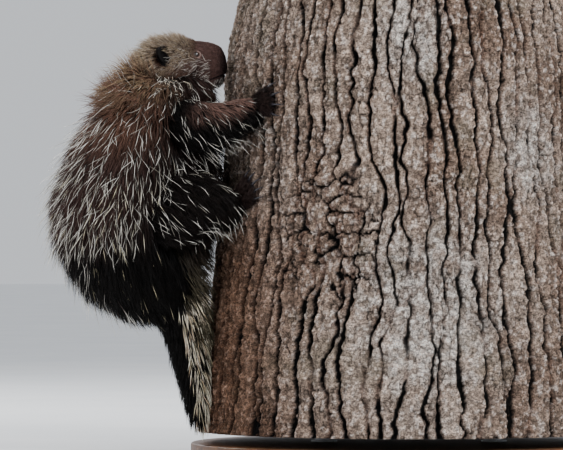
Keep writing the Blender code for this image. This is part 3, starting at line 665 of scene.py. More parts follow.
def bark(turn, up):
    """Relief and tone of the bark at these turns from the front and heights."""
    radius = trunk_radius(up)
    x = radius * np.sin(turn)
    front = (np.cos(turn) > 0) * 1.0
    u = (turn + math.pi) / (2 * math.pi) * GIRTH
    knot = mark_share(x, front, up, KNOT)
    scar = np.minimum(mark_share(x, front, up, SCAR) * 1.5, 1)
    pale = np.zeros_like(x)
    for mark in PALE_MARKS:
        pale = np.maximum(pale, mark_share(x, front, up, mark))
    pale = np.clip(pale * 1.25 + 0.40 * layered(u, up, 0.030, 0.030, 31) * ramp(pale, 0.05, 0.4), 0, 1)

    ragged = layered(u, up, 0.012, 0.013, 7)
    wander = 0.008 * layered(u, up, 0.150, 0.180, 3) + 0.0024 * ragged
    bow = 0.80 * knot * (x - KNOT[0]) + 0.012 * scar * layered(u, up, 0.050, 0.050, 4)
    line, number = furrows((u + wander - bow) % GIRTH, up, 0.0305, 11)
    chunk, chunk_number, _ = plates((u + 2 * wander - bow) % GIRTH, up + 2 * wander, 0.036, 0.034, 12)
    flake, flake_number, flake_tilt = plates((u + wander) % GIRTH, up + 0.5 * wander, 0.014, 0.021, 13)
    chip, chip_number, chip_tilt = plates((u + 0.5 * wander) % GIRTH, up - 0.3 * wander, 0.0072, 0.0078, 14)
    _, crumb_number, _ = plates(u, up, 0.0042, 0.0040, 15)

    width = 0.0014 + 0.0018 * ramp(layered(u, up, 0.028, 0.050, 19), -0.9, 0.9)
    depth = 0.30 + 0.70 * ramp(layered(u, up, 0.035, 0.075, 20), -0.9, 0.2)
    depth = depth * (1 - 0.40 * ramp(pale, 0.25, 0.7)) * (1 - 0.75 * ramp(scar, 0.5, 0.9))
    furrow = (1 - ramp(line, width * 0.6, width * 2.1)) * depth
    gap = (1 - ramp(chunk, 0.03, 0.17)) * ramp(scar, 0.35, 0.8)
    gap = gap * ramp(layered(u, up, 0.04, 0.04, 21), -1.0, 0.2)
    fissure = np.maximum(furrow, gap)
    crack = (1 - ramp(flake, 0.0, 0.14)) * ramp(layered(u, up, 0.04, 0.04, 17), -0.6, 0.5)
    split = (1 - ramp(chip, 0.0, 0.16)) * ramp(layered(u, up, 0.03, 0.03, 18), -0.3, 0.6)
    relief = 0.0016 * ramp(line, 0.002, 0.010) - 0.0105 * fissure + 0.0028 * (number - 0.5)
    relief += 0.0022 * (chunk_number - 0.5) * scar
    relief += 0.0026 * (flake_number - 0.5) + 0.0026 * flake_tilt - 0.0026 * crack
    relief += 0.0020 * (chip_number - 0.5) + 0.0024 * chip_tilt - 0.0016 * split
    relief += 0.0012 * (crumb_number - 0.5)
    circles = np.hypot(x - KNOT[0], up - KNOT[1]) + 0.003 * layered(u, up, 0.02, 0.02, 29)
    relief += knot * (0.0050 + 0.0016 * np.sin(circles * 2 * math.pi / 0.010)) + 0.0020 * scar
    relief -= 0.0016

    tone = mix(paint(176, 154, 138), paint(146, 122, 106), ramp(layered(u, up, 0.11, 0.15, 41), -0.7, 0.7))
    tone = tone * (0.70 + 0.50 * flake_number)[:, None] * (0.62 + 0.66 * chip_number)[:, None]
    tone = tone * (0.72 + 0.50 * crumb_number)[:, None]
    tone = mix(tone, paint(222, 210, 202), 0.70 * ramp(0.5 * chip_number + 0.5 * crumb_number, 0.60, 0.90))
    # Reddish inner bark along the furrows: partly its own colour, partly painted shade in the furrows.
    tone = mix(tone, paint(96, 64, 50), 0.55 * (1 - ramp(line, 0.001, 0.007)))
    tone = mix(tone, paint(112, 108, 90), 0.30 * ramp(layered(u, up, 0.06, 0.08, 43), 0.3, 1.0))
    tone = mix(tone, paint(224, 216, 208),
            pale * (0.20 + 0.60 * ramp(chip_number + 0.4 * crumb_number, 0.3, 1.1)))
    # Painted shade: the cracks between flakes and chips darkened, and the deep fissures near black.
    tone = mix(tone, paint(30, 20, 16), np.clip(0.75 * crack + 0.60 * split, 0, 1))
    tone = mix(tone, paint(12, 8, 7), ramp(fissure, 0.20, 0.60))
    shade = front * ramp(-x, 0.15, 0.31) * ramp(0.56 - up, 0.0, 0.24)
    tone = mix(tone, tone * np.array((0.52, 0.38, 0.30)), shade)
    return relief, tone


def bark_piece(name, start, end, columns, rows, material):
    """One closed length round the bark: its rough face, and a plain inner side."""
    turns = np.linspace(start, end, columns)
    ups = np.linspace(TRUNK_FOOT, TRUNK_FOOT + TRUNK_LENGTH, rows)
    turn, up = (grid.ravel() for grid in np.meshgrid(turns, ups))
    relief, tone = bark(turn, up)
    radius = trunk_radius(up) + relief
    outer = np.column_stack((radius * np.sin(turn), -radius * np.cos(turn), up))
    inner = []
    for height in (ups[0], ups[-1]):
        reach = TRUNK_TOP_RADIUS - BARK_THICKNESS
        inner.append(np.column_stack((reach * np.sin(turns), -reach * np.cos(turns),
                np.full(columns, height))))
    points = np.vstack((outer, *inner))
    i, j = (grid.ravel() for grid in np.meshgrid(np.arange(rows - 1), np.arange(columns - 1),
            indexing="ij"))
    a = i * columns + j
    faces = np.column_stack((a, a + 1, a + 1 + columns, a + columns)).tolist()
    rough = len(faces)
    top, low, high = (rows - 1) * columns, rows * columns, (rows + 1) * columns
    for k in range(columns - 1):
        faces.append((low + k, low + k + 1, k + 1, k))
        faces.append((top + k, top + k + 1, high + k + 1, high + k))
        faces.append((high + k, high + k + 1, low + k + 1, low + k))
    left_edge = [i * columns for i in range(rows)]
    right_edge = [i * columns + columns - 1 for i in range(rows)]
    faces.append([low] + left_edge + [high])
    faces.append([high + columns - 1] + right_edge[::-1] + [low + columns - 1])
    made = mesh_object(name, points, faces)
    made.data.polygons.foreach_set("use_smooth", np.arange(len(faces)) < rough)
    colours = np.vstack((tone, np.tile(paint(96, 70, 54), (2 * columns, 1))))
    colour_points(made.data, colours)
    return settle(made, name, material, "bark", "tree_trunk")


def make_trunk():
    """The bark in four lengths round the trunk, finest where the photograph shows it."""
    material = bark_material()
    for name, start, end, columns in BARK_PIECES:
        bark_piece(name, math.radians(start), math.radians(end), columns, BARK_ROWS, material)
    nothing_selected()
    radius = TRUNK_TOP_RADIUS - BARK_THICKNESS
    bpy.ops.mesh.primitive_cylinder_add(
        vertices=128,
        radius=radius - 0.0002,
        depth=TRUNK_LENGTH - 0.001,
        location=(0, 0, TRUNK_FOOT + TRUNK_LENGTH / 2),
    )
    core = bpy.context.object
    bpy.ops.object.mode_set(mode="EDIT")
    bpy.ops.mesh.select_mode(type="FACE")
    bpy.ops.mesh.select_all(action="DESELECT")
    bpy.ops.object.mode_set(mode="OBJECT")
    for face in core.data.polygons:
        face.select = abs(face.normal.z) > 0.9
    bpy.ops.object.mode_set(mode="EDIT")
    for share in (0.12, 0.2, 0.3):
        bpy.ops.mesh.inset(thickness=radius * share, depth=-0.0006)
    bpy.ops.object.mode_set(mode="OBJECT")
    bpy.ops.object.transform_apply(location=True, rotation=True, scale=True)
    settle(core, "trunk_wood", sawn_material(), "bark", "tree_trunk")


def paw_forms(side, sizes, drop):
    """The palm and the digits, with a knuckle and a fleshy tip on each."""
    wide, sink = paw_axes(side, sizes, drop)
    place = paw_place(side, sizes, drop)
    sole, width = sizes[3:5]
    palm = []
    for share, broad, thick in PALM_SECTIONS:
        palm.append((*place(sole * share, 0, sink), PAW_THICKNESS / 2 * thick, width / 2 * broad))
    made = [Form(palm, wide)]
    for ahead, knuckle, tip, _ in digits_of(side, sizes, drop):
        middle = (knuckle + tip) / 2
        digit = (
            (*ahead(knuckle - 0.008, sink), DIGIT_RADIUS, DIGIT_RADIUS),
            (*ahead(knuckle, sink * 1.15), DIGIT_RADIUS * 1.05, DIGIT_RADIUS),
            (*ahead(middle, sink), DIGIT_RADIUS * 0.86, DIGIT_RADIUS * 0.86),
            (*ahead(tip, sink * 0.75), DIGIT_RADIUS * 0.82, DIGIT_RADIUS * 0.85),
        )
        made.append(Form(digit, wide))
    return made


# Stand


def turned(name, radius, depth, middle, sides, rounding, material, slot, *nodes):
    """A turned disc or rod, its edges rounded over."""
    nothing_selected()
    bpy.ops.mesh.primitive_cylinder_add(vertices=sides, radius=radius, depth=depth, location=middle)
    made = bpy.context.object
    bevel = made.modifiers.new("rounding", "BEVEL")
    bevel.width = rounding
    bevel.segments = 4
    bevel.angle_limit = math.radians(40)
    bpy.ops.object.modifier_apply(modifier=bevel.name)
    bpy.ops.object.transform_apply(location=True, rotation=True, scale=True)
    bpy.ops.object.shade_smooth_by_angle(angle=math.radians(35))
    return settle(made, name, material, slot, *nodes)


def make_stand():
    """The board with its edges rounded, and the rods in their collars."""
    low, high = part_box("stand_base")
    thickness = high.z - low.z
    radius = (high.y - low.y) / 2
    board = board_material()
    turned("stand_board", radius, thickness, (0, 0, thickness / 2), 192, 0.004, board, "stand_board",
            "stand_base")
    steel = steel_material()
    for side in ("left", "right"):
        low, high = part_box("stand_rod_" + side)
        middle = (low + high) / 2
        rod = (high.x - low.x) / 2
        turned("stand_post_" + side, rod, high.z - low.z, middle, 64, 0.001, steel, "stand_steel",
                "stand_rod_" + side)
        foot = (middle.x, middle.y, low.z + 0.002)
        turned("stand_collar_" + side, rod * 1.4, 0.0036, foot, 64, 0.001, steel, "stand_steel")


# Skin


def mirrored(place, side):
    return np.array(place) * np.array((1, side, 1))


def eye_frame(side):
    """The eye's centre, the way it looks, and the level and rising directions across it."""
    look = unit(mirrored(EYE_LOOK, side))
    level = unit(np.array((1.0, 0, 0)) - look * look[0])
    rise = np.cross(look, level)
    return mirrored(EYE_PLACE, side), look, level, rise * np.sign(rise[2])


def eye_reach(points, side):
    """How far points are from the middle of the eye's opening, where 1 is its edge."""
    centre, look, level, rise = eye_frame(side)
    offset = points - centre
    a = offset @ level / EYE_OPENING[0]
    b = offset @ rise / EYE_OPENING[1]
    return np.where(offset @ look > -0.002, np.hypot(a, b), 9.0), a, b


def mouth_distance(points):
    """How far points are from the mouth's line, seen from the side, and on which side of it."""
    nearest = np.full(len(points), 9.0)
    above = np.zeros(len(points))
    flat = points[:, (0, 2)]
    for start, end in zip(MOUTH_LINE, MOUTH_LINE[1:]):
        start, way = np.array(start), np.array(end) - np.array(start)
        share = np.clip((flat - start) @ way / (way @ way), 0, 1)
        offset = flat - start - share[:, None] * way
        distance = np.linalg.norm(offset, axis=1)
        above = np.where(distance < nearest, offset[:, 1], above)
        nearest = np.minimum(nearest, distance)
    return nearest, above


def shape_face(points, normals):
    """Sinks the eye sockets, nostrils and mouth into the head, and raises lids, brows and lips."""
    lift = np.zeros(len(points))
    for side in (1, -1):
        reach, a, b = eye_reach(points, side)
        lift += LID_RISE * np.exp(-(((reach - 1.28) / 0.24) ** 2))
        lift -= 0.0006 * np.exp(-(((reach - 1.95) / 0.26) ** 2))
        lift += 0.0016 * np.exp(-((a / 2.6) ** 2) - ((b - 3.0) / 1.1) ** 2) * (reach < 8)
        lift -= SOCKET_DEPTH * (1 - ramp(reach, 0.90, 1.06))
        distance = np.linalg.norm(points - mirrored(NOSTRIL_PLACE, side), axis=1)
        lift += 0.0009 * np.exp(-(((distance - NOSTRIL_RADIUS * 1.5) / 0.0011) ** 2))
        lift -= 0.0042 * (1 - ramp(distance, NOSTRIL_RADIUS * 0.5, NOSTRIL_RADIUS * 1.1))
    distance, _ = mouth_distance(points)
    lift += 0.0011 * np.exp(-(((distance - 0.0028) / 0.0013) ** 2))
    lift -= 0.0022 * (1 - ramp(distance, 0.0004, 0.0013))
    folds = np.sin(points[:, 0] * 2 * math.pi / 0.0062 + 60 * points[:, 2])
    lift += 0.0003 * folds * ramp(0.372 - points[:, 0], 0.0, 0.015)
    return points + normals * lift[:, None]


def paw_place(side, sizes, drop):
    """A function that gives a point over the bark from its place on the paw."""
    angle, height, heading = sizes[:3]

    def place(forward, across, lift):
        up = height - drop + forward * math.sin(heading) - across * math.cos(heading)
        level = forward * math.cos(heading) + across * math.sin(heading)
        radius = trunk_radius(up)
        turn = angle + level / radius
        return np.array(((radius + lift) * math.cos(turn), (radius + lift) * math.sin(turn) * side, up))

    return place


def digits_of(side, sizes, drop):
    """For each digit: how far it fans out, its length's share, and a function for places on it."""
    place = paw_place(side, sizes, drop)
    sole, width, count = sizes[3:]
    for k in range(count):
        share = 2 * k / (count - 1) - 1
        across = share * width * 0.42
        knuckle = sole * 0.88 - 0.004 * share * share
        reach = 1 - 0.20 * share * share

        def ahead(forward, lift, across=across, share=share, knuckle=knuckle):
            return place(forward, across + share * DIGIT_FAN * (forward - knuckle), lift)

        yield ahead, knuckle, knuckle + DIGIT_LENGTH * reach, reach


def paw_axes(side, sizes, drop):
    place = paw_place(side, sizes, drop)
    sink = PAW_THICKNESS * 0.36
    ahead = place(sizes[3], 0, sink) - place(0, 0, sink)
    angle = sizes[0]
    return np.cross(ahead, (math.cos(angle), math.sin(angle) * side, 0)), sink


def ear_mesh(side):
    """An ear pressed in on the side that faces forwards, its edges curled round."""
    form, root, lean, wide, facing = ear_form(side)

    def cupped(points, _):
        offset = points - root
        along = offset @ lean / EAR_LENGTH - 0.50
        across = offset @ wide / EAR_HALF_WIDTH
        hollow = 1 - ramp(np.hypot(along / 0.42, across / 0.80), 0.35, 1.0)
        curl = 0.0035 * across**2
        pushed = -0.0052 * hollow * (offset @ facing > -0.0005)
        return points + facing * (pushed + curl)[:, None]

    return form.mesh(36, 40, cap=0.5, shaped=cupped)


def joined_by_union(name, meshes):
    """One closed surface round all of these closed meshes."""
    group = bpy.data.collections.new("flesh")
    bpy.context.scene.collection.children.link(group)
    whole = mesh_object(name, climb_to_room(meshes[0][0]), meshes[0][1])
    for points, faces in meshes[1:]:
        piece = mesh_object("flesh", climb_to_room(points), faces)
        bpy.context.scene.collection.objects.unlink(piece)
        group.objects.link(piece)
    join = whole.modifiers.new("join", "BOOLEAN")
    join.operation = "UNION"
    join.solver = "MANIFOLD"
    join.operand_type = "COLLECTION"
    join.collection = group
    nothing_selected()
    bpy.context.view_layer.objects.active = whole
    whole.select_set(True)
    bpy.ops.object.modifier_apply(modifier=join.name)
    for piece in list(group.objects):
        bpy.data.objects.remove(piece, do_unlink=True)
    bpy.data.collections.remove(group)
    whole.data.shade_smooth()
    return whole


def skin_tones(points):
    """The short fur's colour at points of the skin, in climbing coordinates."""
    out, up = points[:, 0], points[:, 2]
    tone = np.tile(BLACK_HAIR, (len(points), 1))
    face = ramp(up, 0.640, 0.655) * ramp(0.415 - out, 0.0, 0.02)
    tone = mix(tone, FACE_BROWN, face)
    tone = mix(tone, MUZZLE_DARK, face * ramp(0.352 - out, -0.004, 0.016))
    for side in (1, -1):
        reach, _, _ = eye_reach(points, side)
        # A pale ring on the lids round each eye: partly their own colour, partly a painted highlight for
        # the eye's pale rim.
        tone = mix(tone, paint(150, 126, 118), 0.70 * np.exp(-(((reach - 1.25) / 0.30) ** 2)))
        tone = mix(tone, paint(14, 10, 10), 1 - ramp(reach, 0.9, 1.1))
        nostril = np.linalg.norm(points - mirrored(NOSTRIL_PLACE, side), axis=1)
        tone = mix(tone, paint(12, 8, 8), 1 - ramp(nostril, 0.0020, 0.0036))
    distance, _ = mouth_distance(points)
    tone = mix(tone, paint(20, 13, 13), (1 - ramp(distance, 0.0008, 0.0022)) * ramp(0.368 - out, 0, 0.004))
    paws = np.hypot(out, points[:, 1]) < trunk_radius(up) + PAW_THICKNESS
    return mix(tone, PAW_BROWN, paws * (up < 0.66) * 1.0)


def make_skin():
    """All the flesh as one skin, from the nose to the tail's tip and the paws."""
    detail = {"head": (150, 200), "neck": (26, 56), "torso": (54, 64), "tail": (44, 36)}
    meshes = [FORMS["head"].mesh(*detail["head"], shaped=shape_face)]
    for name, form in FORMS.items():
        if name != "head":
            meshes.append(form.mesh(*detail.get(name, (40, 36))))
    for _, side, fore_drop, hind_drop in SIDES:
        for sizes, drop in ((FOREPAW, fore_drop), (HINDFOOT, hind_drop)):
            palm, *digits = paw_forms(side, sizes, drop)
            meshes.append(palm.mesh(24, 28, cap=0.6))
            meshes += [digit.mesh(16, 16, cap=0.8) for digit in digits]
        meshes.append(ear_mesh(side))
    skin = joined_by_union("skin", meshes)
    spots = np.empty(len(skin.data.vertices) * 3)
    skin.data.vertices.foreach_get("co", spots)
    spots = spots.reshape(-1, 3)
    colour_points(skin.data, skin_tones(room_to_climb(spots)))
    flesh = [name for name in frame["nodes"] if name.split("_")[0] in FLESH]
    return settle(skin, "skin", skin_material(), "face_fur", *flesh)


FLESH = ("head", "neck", "torso", "tail", "foreleg", "hindleg", "forepaw", "hindfoot", "ear")


def room_to_climb(points):
    turn = -(math.pi + CLIMB_ANGLE)
    x = points[:, 0] * math.cos(turn) - points[:, 1] * math.sin(turn)
    y = points[:, 0] * math.sin(turn) + points[:, 1] * math.cos(turn)
    return np.column_stack((x, y, points[:, 2]))


def make_eyes():
    """Each eye as a ball with a slightly raised cornea."""
    material = eye_material()
    for name, side, _, _ in SIDES:
        centre, look, _, _ = eye_frame(side)
        nothing_selected()
        bpy.ops.mesh.primitive_uv_sphere_add(segments=48, ring_count=32, radius=EYE_RADIUS)
        ball = bpy.context.object
        spots = np.empty(len(ball.data.vertices) * 3)
        ball.data.vertices.foreach_get("co", spots)
        spots = spots.reshape(-1, 3)
        facing = spots @ look / EYE_RADIUS
        spots = spots * (1 + 0.06 * ramp(facing, 0.72, 0.95))[:, None]
        ball.data.vertices.foreach_set("co", climb_to_room(spots + centre).ravel())
        ball.data.update()
        ball.data.shade_smooth()
        settle(ball, "eyeball_" + name, material, "eye_gloss", "eye_" + name)


def make_claws():
    """Long curved claws, one piece for each paw."""
    material = claw_material()
    for name, side, fore_drop, hind_drop in SIDES:
        for paw, sizes, drop in (("forepaw", FOREPAW, fore_drop), ("hindfoot", HINDFOOT, hind_drop)):
            wide, sink = paw_axes(side, sizes, drop)
            points, faces = [], []
            for ahead, _, tip, reach in digits_of(side, sizes, drop):
                stations = []
                for share, lift, size in CLAW_SECTIONS:
                    place = ahead(tip - 0.004 + (CLAW_LENGTH * reach + 0.004) * share, sink * lift)
                    stations.append((*place, CLAW_RADIUS * size, CLAW_RADIUS * size * 0.72))
                spots, sides = Form(stations, wide).mesh(14, 10, cap=1.5)
                faces += [[corner + len(points) for corner in face] for face in sides]
                points += spots.tolist()
            made = mesh_object("claws", climb_to_room(np.array(points)), faces)
            settle(made, f"claws_{paw}_{name}", material, "paw_skin", f"{paw}_{name}")


# A claw from its root to its tip: share of the length, lift over the bark, and thickness.
CLAW_SECTIONS = ((0, 0.80, 0.95), (0.25, 1.05, 1.0), (0.50, 1.05, 0.82), (0.75, 0.72, 0.55),
        (1.0, 0.10, 0.12))


# Coat


class Strands:
    """Hairs of one piece, gathered in batches: paths, widths, tones and places on the unwrap."""

    def __init__(self, name):
        self.name = name
        self.points, self.faces, self.tones, self.uvs = [], [], [], []
        self.count = 0

    def add(self, paths, wide, half_width, half_thickness, taper, tones, uv, sides=3):
        """Closed, tapered hairs along the paths, which end in a tip."""
        n, k = paths.shape[0], paths.shape[1] - 1
        if n == 0:
            return
        ahead = unit(np.diff(paths, axis=1))
        ahead = np.concatenate((ahead[:, :1], unit(ahead[:, :-1] + ahead[:, 1:])), axis=1)
        across = unit(wide[:, None, :] - ahead * dots(ahead, wide[:, None, :]))
        thin = np.cross(ahead, across)
        turn = 2 * np.pi * np.arange(sides) / sides + np.pi / 2
        size = np.asarray(taper)[None, :, None, None]
        reach = across[:, :, None, :] * np.cos(turn)[None, None, :, None] * half_width[:, None, None, None]
        through = thin[:, :, None, :] * np.sin(turn)[None, None, :, None]
        reach = reach + through * half_thickness[:, None, None, None]
        rings = (paths[:, :k, None, :] + reach * size).reshape(n, k * sides, 3)
        points = np.concatenate((rings, paths[:, k:]), axis=1)
        share = np.append(np.repeat(np.arange(k) / k, sides), 1.0)
        around = np.append(np.tile(np.arange(sides) / sides - 0.33, k), 0.0)
        spread = np.stack((around * PATCH, (share - 0.5) * PATCH), axis=1)
        self.points.append(points.reshape(-1, 3))
        self.tones.append(tone_along(tones, share).reshape(-1, 3))
        self.uvs.append((uv[:, None, :] + spread[None]).reshape(-1, 2))
        pattern = strand_faces(k, sides)
        start = self.count + np.arange(n)[:, None, None] * (k * sides + 1)
        self.faces.append((pattern[None] + start).reshape(-1, 3))
        self.count += n * (k * sides + 1)

    def build(self, material, slot, *nodes):
        points = climb_to_room(np.concatenate(self.points))
        faces = np.concatenate(self.faces).astype(np.int32)
        mesh = bpy.data.meshes.new(self.name)
        mesh.vertices.add(len(points))
        mesh.vertices.foreach_set("co", points.astype(np.float32).ravel())
        mesh.loops.add(faces.size)
        mesh.loops.foreach_set("vertex_index", faces.ravel())
        mesh.polygons.add(len(faces))
        mesh.polygons.foreach_set("loop_start", np.arange(0, faces.size, 3, dtype=np.int32))
        mesh.update(calc_edges=True)
        mesh.validate()
        mesh.shade_smooth()
        colour_points(mesh, np.concatenate(self.tones))
        layer = mesh.uv_layers.new(name="OFBake")
        layer.data.foreach_set("uv", np.concatenate(self.uvs)[faces.ravel()].astype(np.float32).ravel())
        made = bpy.data.objects.new(self.name, mesh)
        bpy.context.scene.collection.objects.link(made)
        return settle(made, self.name, material, slot, *nodes)


def strand_faces(rings, sides):
    """Triangles of one closed hair of so many rings, with its tip as the last point."""
    faces = []
    for i in range(rings - 1):
        for j in range(sides):
            a, b = i * sides + j, i * sides + (j + 1) % sides
            faces += [(a, b, b + sides), (a, b + sides, a + sides)]
    top = (rings - 1) * sides
    faces += [(top + j, top + (j + 1) % sides, rings * sides) for j in range(sides)]
    faces += [(0, j + 1, j) for j in range(1, sides - 1)]
    return np.array(faces)


def tone_along(tones, share):
    """Colours of all the points of the hairs: the root's, the middle's from its turn on, the tip's."""
    root, middle, tip, turn = tones
    share = share[None, :, None]
    turn = np.asarray(turn).reshape(-1, 1, 1)
    low = np.clip((share - turn + 0.16) / 0.16, 0, 1)
    high = np.clip((share - turn) / (1 - turn), 0, 1)
    lower = root[:, None] + (middle - root)[:, None] * low
    return lower + (tip - middle)[:, None] * high


class Region:
    """A stretch of one form that bears hair, between two stations and two angles."""

    def __init__(self, form, start, end, low=-180, high=180):
        self.form = form
        self.start, self.end = start, end
        self.low, self.high = math.radians(low), math.radians(high)

    def tufts(self, count, flesh, draw):
        """Even random places of tufts, on skin that no other form covers."""
        s = draw.uniform(self.start, self.end, count * 8)
        angle = draw.uniform(self.low, self.high, count * 8)
        along, around = self.form.spacing(s, angle)
        share = along * around
        kept = draw.choice(len(s), count * 4, replace=False, p=share / share.sum())
        s, angle = s[kept], angle[kept]
        point = self.form.surface(s, angle)[0]
        found = []
        for k in range(len(s)):
            if len(found) == count:
                break
            if not buried(Vector(point[k]), self.form, flesh):
                found.append(k)
        return s[found], angle[found]

    def hairs(self, places, children, spread, draw):
        """Places of the hairs of each tuft, and the number of the tuft of each."""
        s, angle = places
        along, around = self.form.spacing(s, angle)
        tuft = np.repeat(np.arange(len(s)), children)
        off = draw.normal(0, spread, (2, len(tuft)))
        s = np.clip(s[tuft] + off[0] / along[tuft], 0.02, self.form.last - 0.02)
        return s, angle[tuft] + off[1] / np.maximum(around[tuft], 0.006), tuft

    def uv(self, s, angle, tile=(0, 1)):
        """Each root's place on an unwrap of the skin: round the form, and along it."""
        u = np.clip((angle - self.low) / (self.high - self.low), 0, 1)
        v = np.clip((s - self.start) / (self.end - self.start), 0, 1)
        index, tiles = tile
        return np.stack(((index + 0.02 + 0.96 * u) / tiles, 0.02 + 0.96 * v), axis=1)


def buried(point, own, flesh):
    """Whether a point of one form lies in the flesh of another."""
    for form, tree in flesh:
        if form is not own:
            near, normal, _, _ = tree.find_nearest(point)
            if (point - near).dot(normal) < 0:
                return True
    return False


def flesh_trees():
    """Each form of flesh with a tree of its closed surface."""
    made = []
    for form in FORMS.values():
        points, faces = form.mesh(40, 36)
        made.append((form, BVHTree.FromPolygons(points.tolist(), faces)))
    return made


def grow(region, s, angle, tuft, look, draw, steps):
    """Paths of hairs: they rise from the skin, bend over to their lie, droop, wave and gather."""
    point, normal, along = region.form.surface(s, angle)
    lie = along * look.get("flow", 1.0) + DOWN * look["droop"]
    lie = unit(lie - normal * dots(lie, normal))
    count = tuft.max() + 1
    sway = draw.normal(0, look["sway"], count)[tuft] + draw.normal(0, look["stray"], len(s))
    side = np.cross(normal, lie)
    lie = lie * np.cos(sway)[:, None] + side * np.sin(sway)[:, None]
    side = np.cross(normal, lie)
    length = look["length"] * draw.uniform(0.82, 1.15, count)[tuft] * draw.uniform(0.85, 1.12, len(s))
    rise = np.radians(look["rise"]) * draw.uniform(0.75, 1.25, count)[tuft]
    rise = rise * draw.uniform(0.85, 1.2, len(s))
    wave = draw.uniform(0, 2 * np.pi, len(s))
    curl = look["curl"] * draw.uniform(0.3, 1.5, len(s))
    turns = draw.uniform(0.6, 1.5, len(s)) * look.get("turns", 0.8)
    start = unit(normal * np.sin(rise)[:, None] + lie * np.cos(rise)[:, None])
    points = [point - start * look.get("sink", 0.003)]
    place = point
    for k in range(steps):
        share = (k + 0.5) / steps
        turn = (rise * (1 - look["bend"] * share))[:, None]
        bow = (curl * np.sin(wave + turns * k))[:, None]
        heading = normal * np.sin(turn) + lie * np.cos(turn) + DOWN * look["weight"] * share + side * bow
        heading = heading + normal * (curl * 0.6 * np.cos(wave + turns * k))[:, None]
        place = place + unit(heading) * (length / steps)[:, None]
        points.append(place)
    paths = np.stack(points, axis=1)
    return clear_of_trunk(gathered(paths, tuft, look["gather"]))


def gathered(paths, tuft, share):
    """Draws the tips of each tuft's hairs together."""
    count = tuft.max() + 1
    size = np.bincount(tuft, minlength=count)
    steps = paths.shape[1]
    for k in range(1, steps):
        middle = np.stack([np.bincount(tuft, paths[:, k, axis], count) for axis in range(3)], axis=1)
        middle = (middle / size[:, None])[tuft]
        pull = share * (k / (steps - 1)) ** 1.5
        paths[:, k] = paths[:, k] * (1 - pull) + middle * pull
    return paths


def clear_of_trunk(paths):
    """Bends hairs that would enter the bark or the board, so that they lie along it."""
    reach = np.linalg.norm(paths[:, :, :2], axis=2)
    wanted = trunk_radius(paths[:, :, 2]) + 0.0035
    wanted[:, 0] = 0
    push = np.maximum(wanted / np.maximum(reach, 1e-6), 1)
    paths[:, :, :2] *= push[:, :, None]
    paths[:, :, 2] = np.maximum(paths[:, :, 2], 0.026)
    return paths


def varied(tone, draw, spread=0.30):
    """The tones, each hair a little darker or lighter than the next."""
    return tone * draw.uniform(1 - spread, 1 + spread, len(tone))[:, None]


def by_angle(angle, back, flank, belly):
    """A size at this angle round a form, between those of the back, flank and belly."""
    turn = np.cos(angle)
    return flank + np.where(turn > 0, back - flank, belly - flank) * turn * turn


def body_tone(up, turn, draw):
    """The dark coat: black below, plum brown on the back, redder at the shoulders."""
    back = ramp(turn, -0.20, 0.75)
    tone = np.tile(BLACK_HAIR, (len(up), 1))
    tone = mix(tone, DARK_BROWN, ramp(up, 0.42, 0.54) * 0.8)
    tone = mix(tone, PLUM_BROWN, back * ramp(up, 0.38, 0.46))
    tone = mix(tone, RED_BROWN, back * ramp(up, 0.52, 0.61) * 0.9)
    return varied(tone, draw, 0.35)


def half_sizes(count, low, high, flatness, draw):
    half = draw.uniform(low, high, count) / 2
    return half, half * flatness


def coat_batch(strands, region, flesh, draw, count, children, spread, look, size, tones, steps=3,
        tile=(0, 1)):
    """Adds one kind of hair over a region. Lengths, rises and tones may be functions of the roots."""
    places = region.tufts(count, flesh, draw)
    s, angle, tuft = region.hairs(places, children, spread, draw)
    point, normal, along = region.form.surface(s, angle)
    if "bare" in look:
        kept = ~look["bare"](point)
        s, angle, point, normal, along = s[kept], angle[kept], point[kept], normal[kept], along[kept]
        tuft = np.unique(tuft[kept], return_inverse=True)[1]
    if len(s) == 0:
        return
    settled = dict(look)
    for name in ("length", "rise"):
        if callable(look[name]):
            settled[name] = look[name](s, angle, point)
    paths = grow(region, s, angle, tuft, settled, draw, steps)
    half, thin = half_sizes(len(s), *size, draw)
    wide = np.cross(normal, along) + normal * draw.uniform(-0.4, 0.4, len(s))[:, None]
    taper = np.interp(np.arange(steps) / steps, (0, 0.3, 1), (0.75, 1.0, 0.45))
    strands.add(paths, wide, half, thin, taper, tones(s, angle, point, draw), region.uv(s, angle, tile))


def each(tone, s):
    """The same tone for every strand."""
    return np.tile(tone, (len(s), 1))


def dark_tones(s, angle, point, draw):
    tone = body_tone(point[:, 2], np.cos(angle), draw)
    return tone * 0.5, tone, tone * 1.3, np.full(len(s), 0.4)


def pale_tones(s, angle, point, draw):
    """Guard hairs: dark for most of their length, then cream or grey-white to the tip."""
    pale = mix(each(CREAM, s), OLIVE_GREY, draw.random(len(s)) ** 2 * 0.8)
    return each(BLACK_HAIR, s), pale * 0.85, pale, draw.uniform(0.52, 0.82, len(s))


def torso_length(s, angle, point):
    """Longest on the back, and shorter from there towards the rump's end."""
    return by_angle(angle, 0.074, 0.062, 0.034) * (1 - 0.30 * ramp(s, 6.0, 8.5))


def torso_coat(flesh):
    """The long dark coat of the trunk of the body, in four pieces."""
    material = hair_material("dark_guard_hair", 0.50, 0.14)
    look = {
        "length": torso_length,
        "rise": lambda s, angle, point: 26 + 8 * ramp(np.cos(angle), 0, 1),
        "droop": 0.30,
        "weight": 0.28,
        "bend": 0.55,
        "sway": 0.14,
        "stray": 0.10,
        "curl": 0.14,
        "gather": 0.35,
    }
    for side, low, high in (("right", 0, 180), ("left", -180, 0)):
        for part, start, end in (("upper", 0.5, 4.4), ("lower", 4.4, 9.0)):
            strands = Strands(f"coat_{part}_{side}")
            draw = np.random.default_rng([SEED, len(side), int(start)])
            region = Region(FORMS["torso"], start, end, low, high)
            coat_batch(strands, region, flesh, draw, 1520, 5, 0.0055, look, (0.0014, 0.0028, 0.55),
                    dark_tones)
            strands.build(material, "coat", "torso")


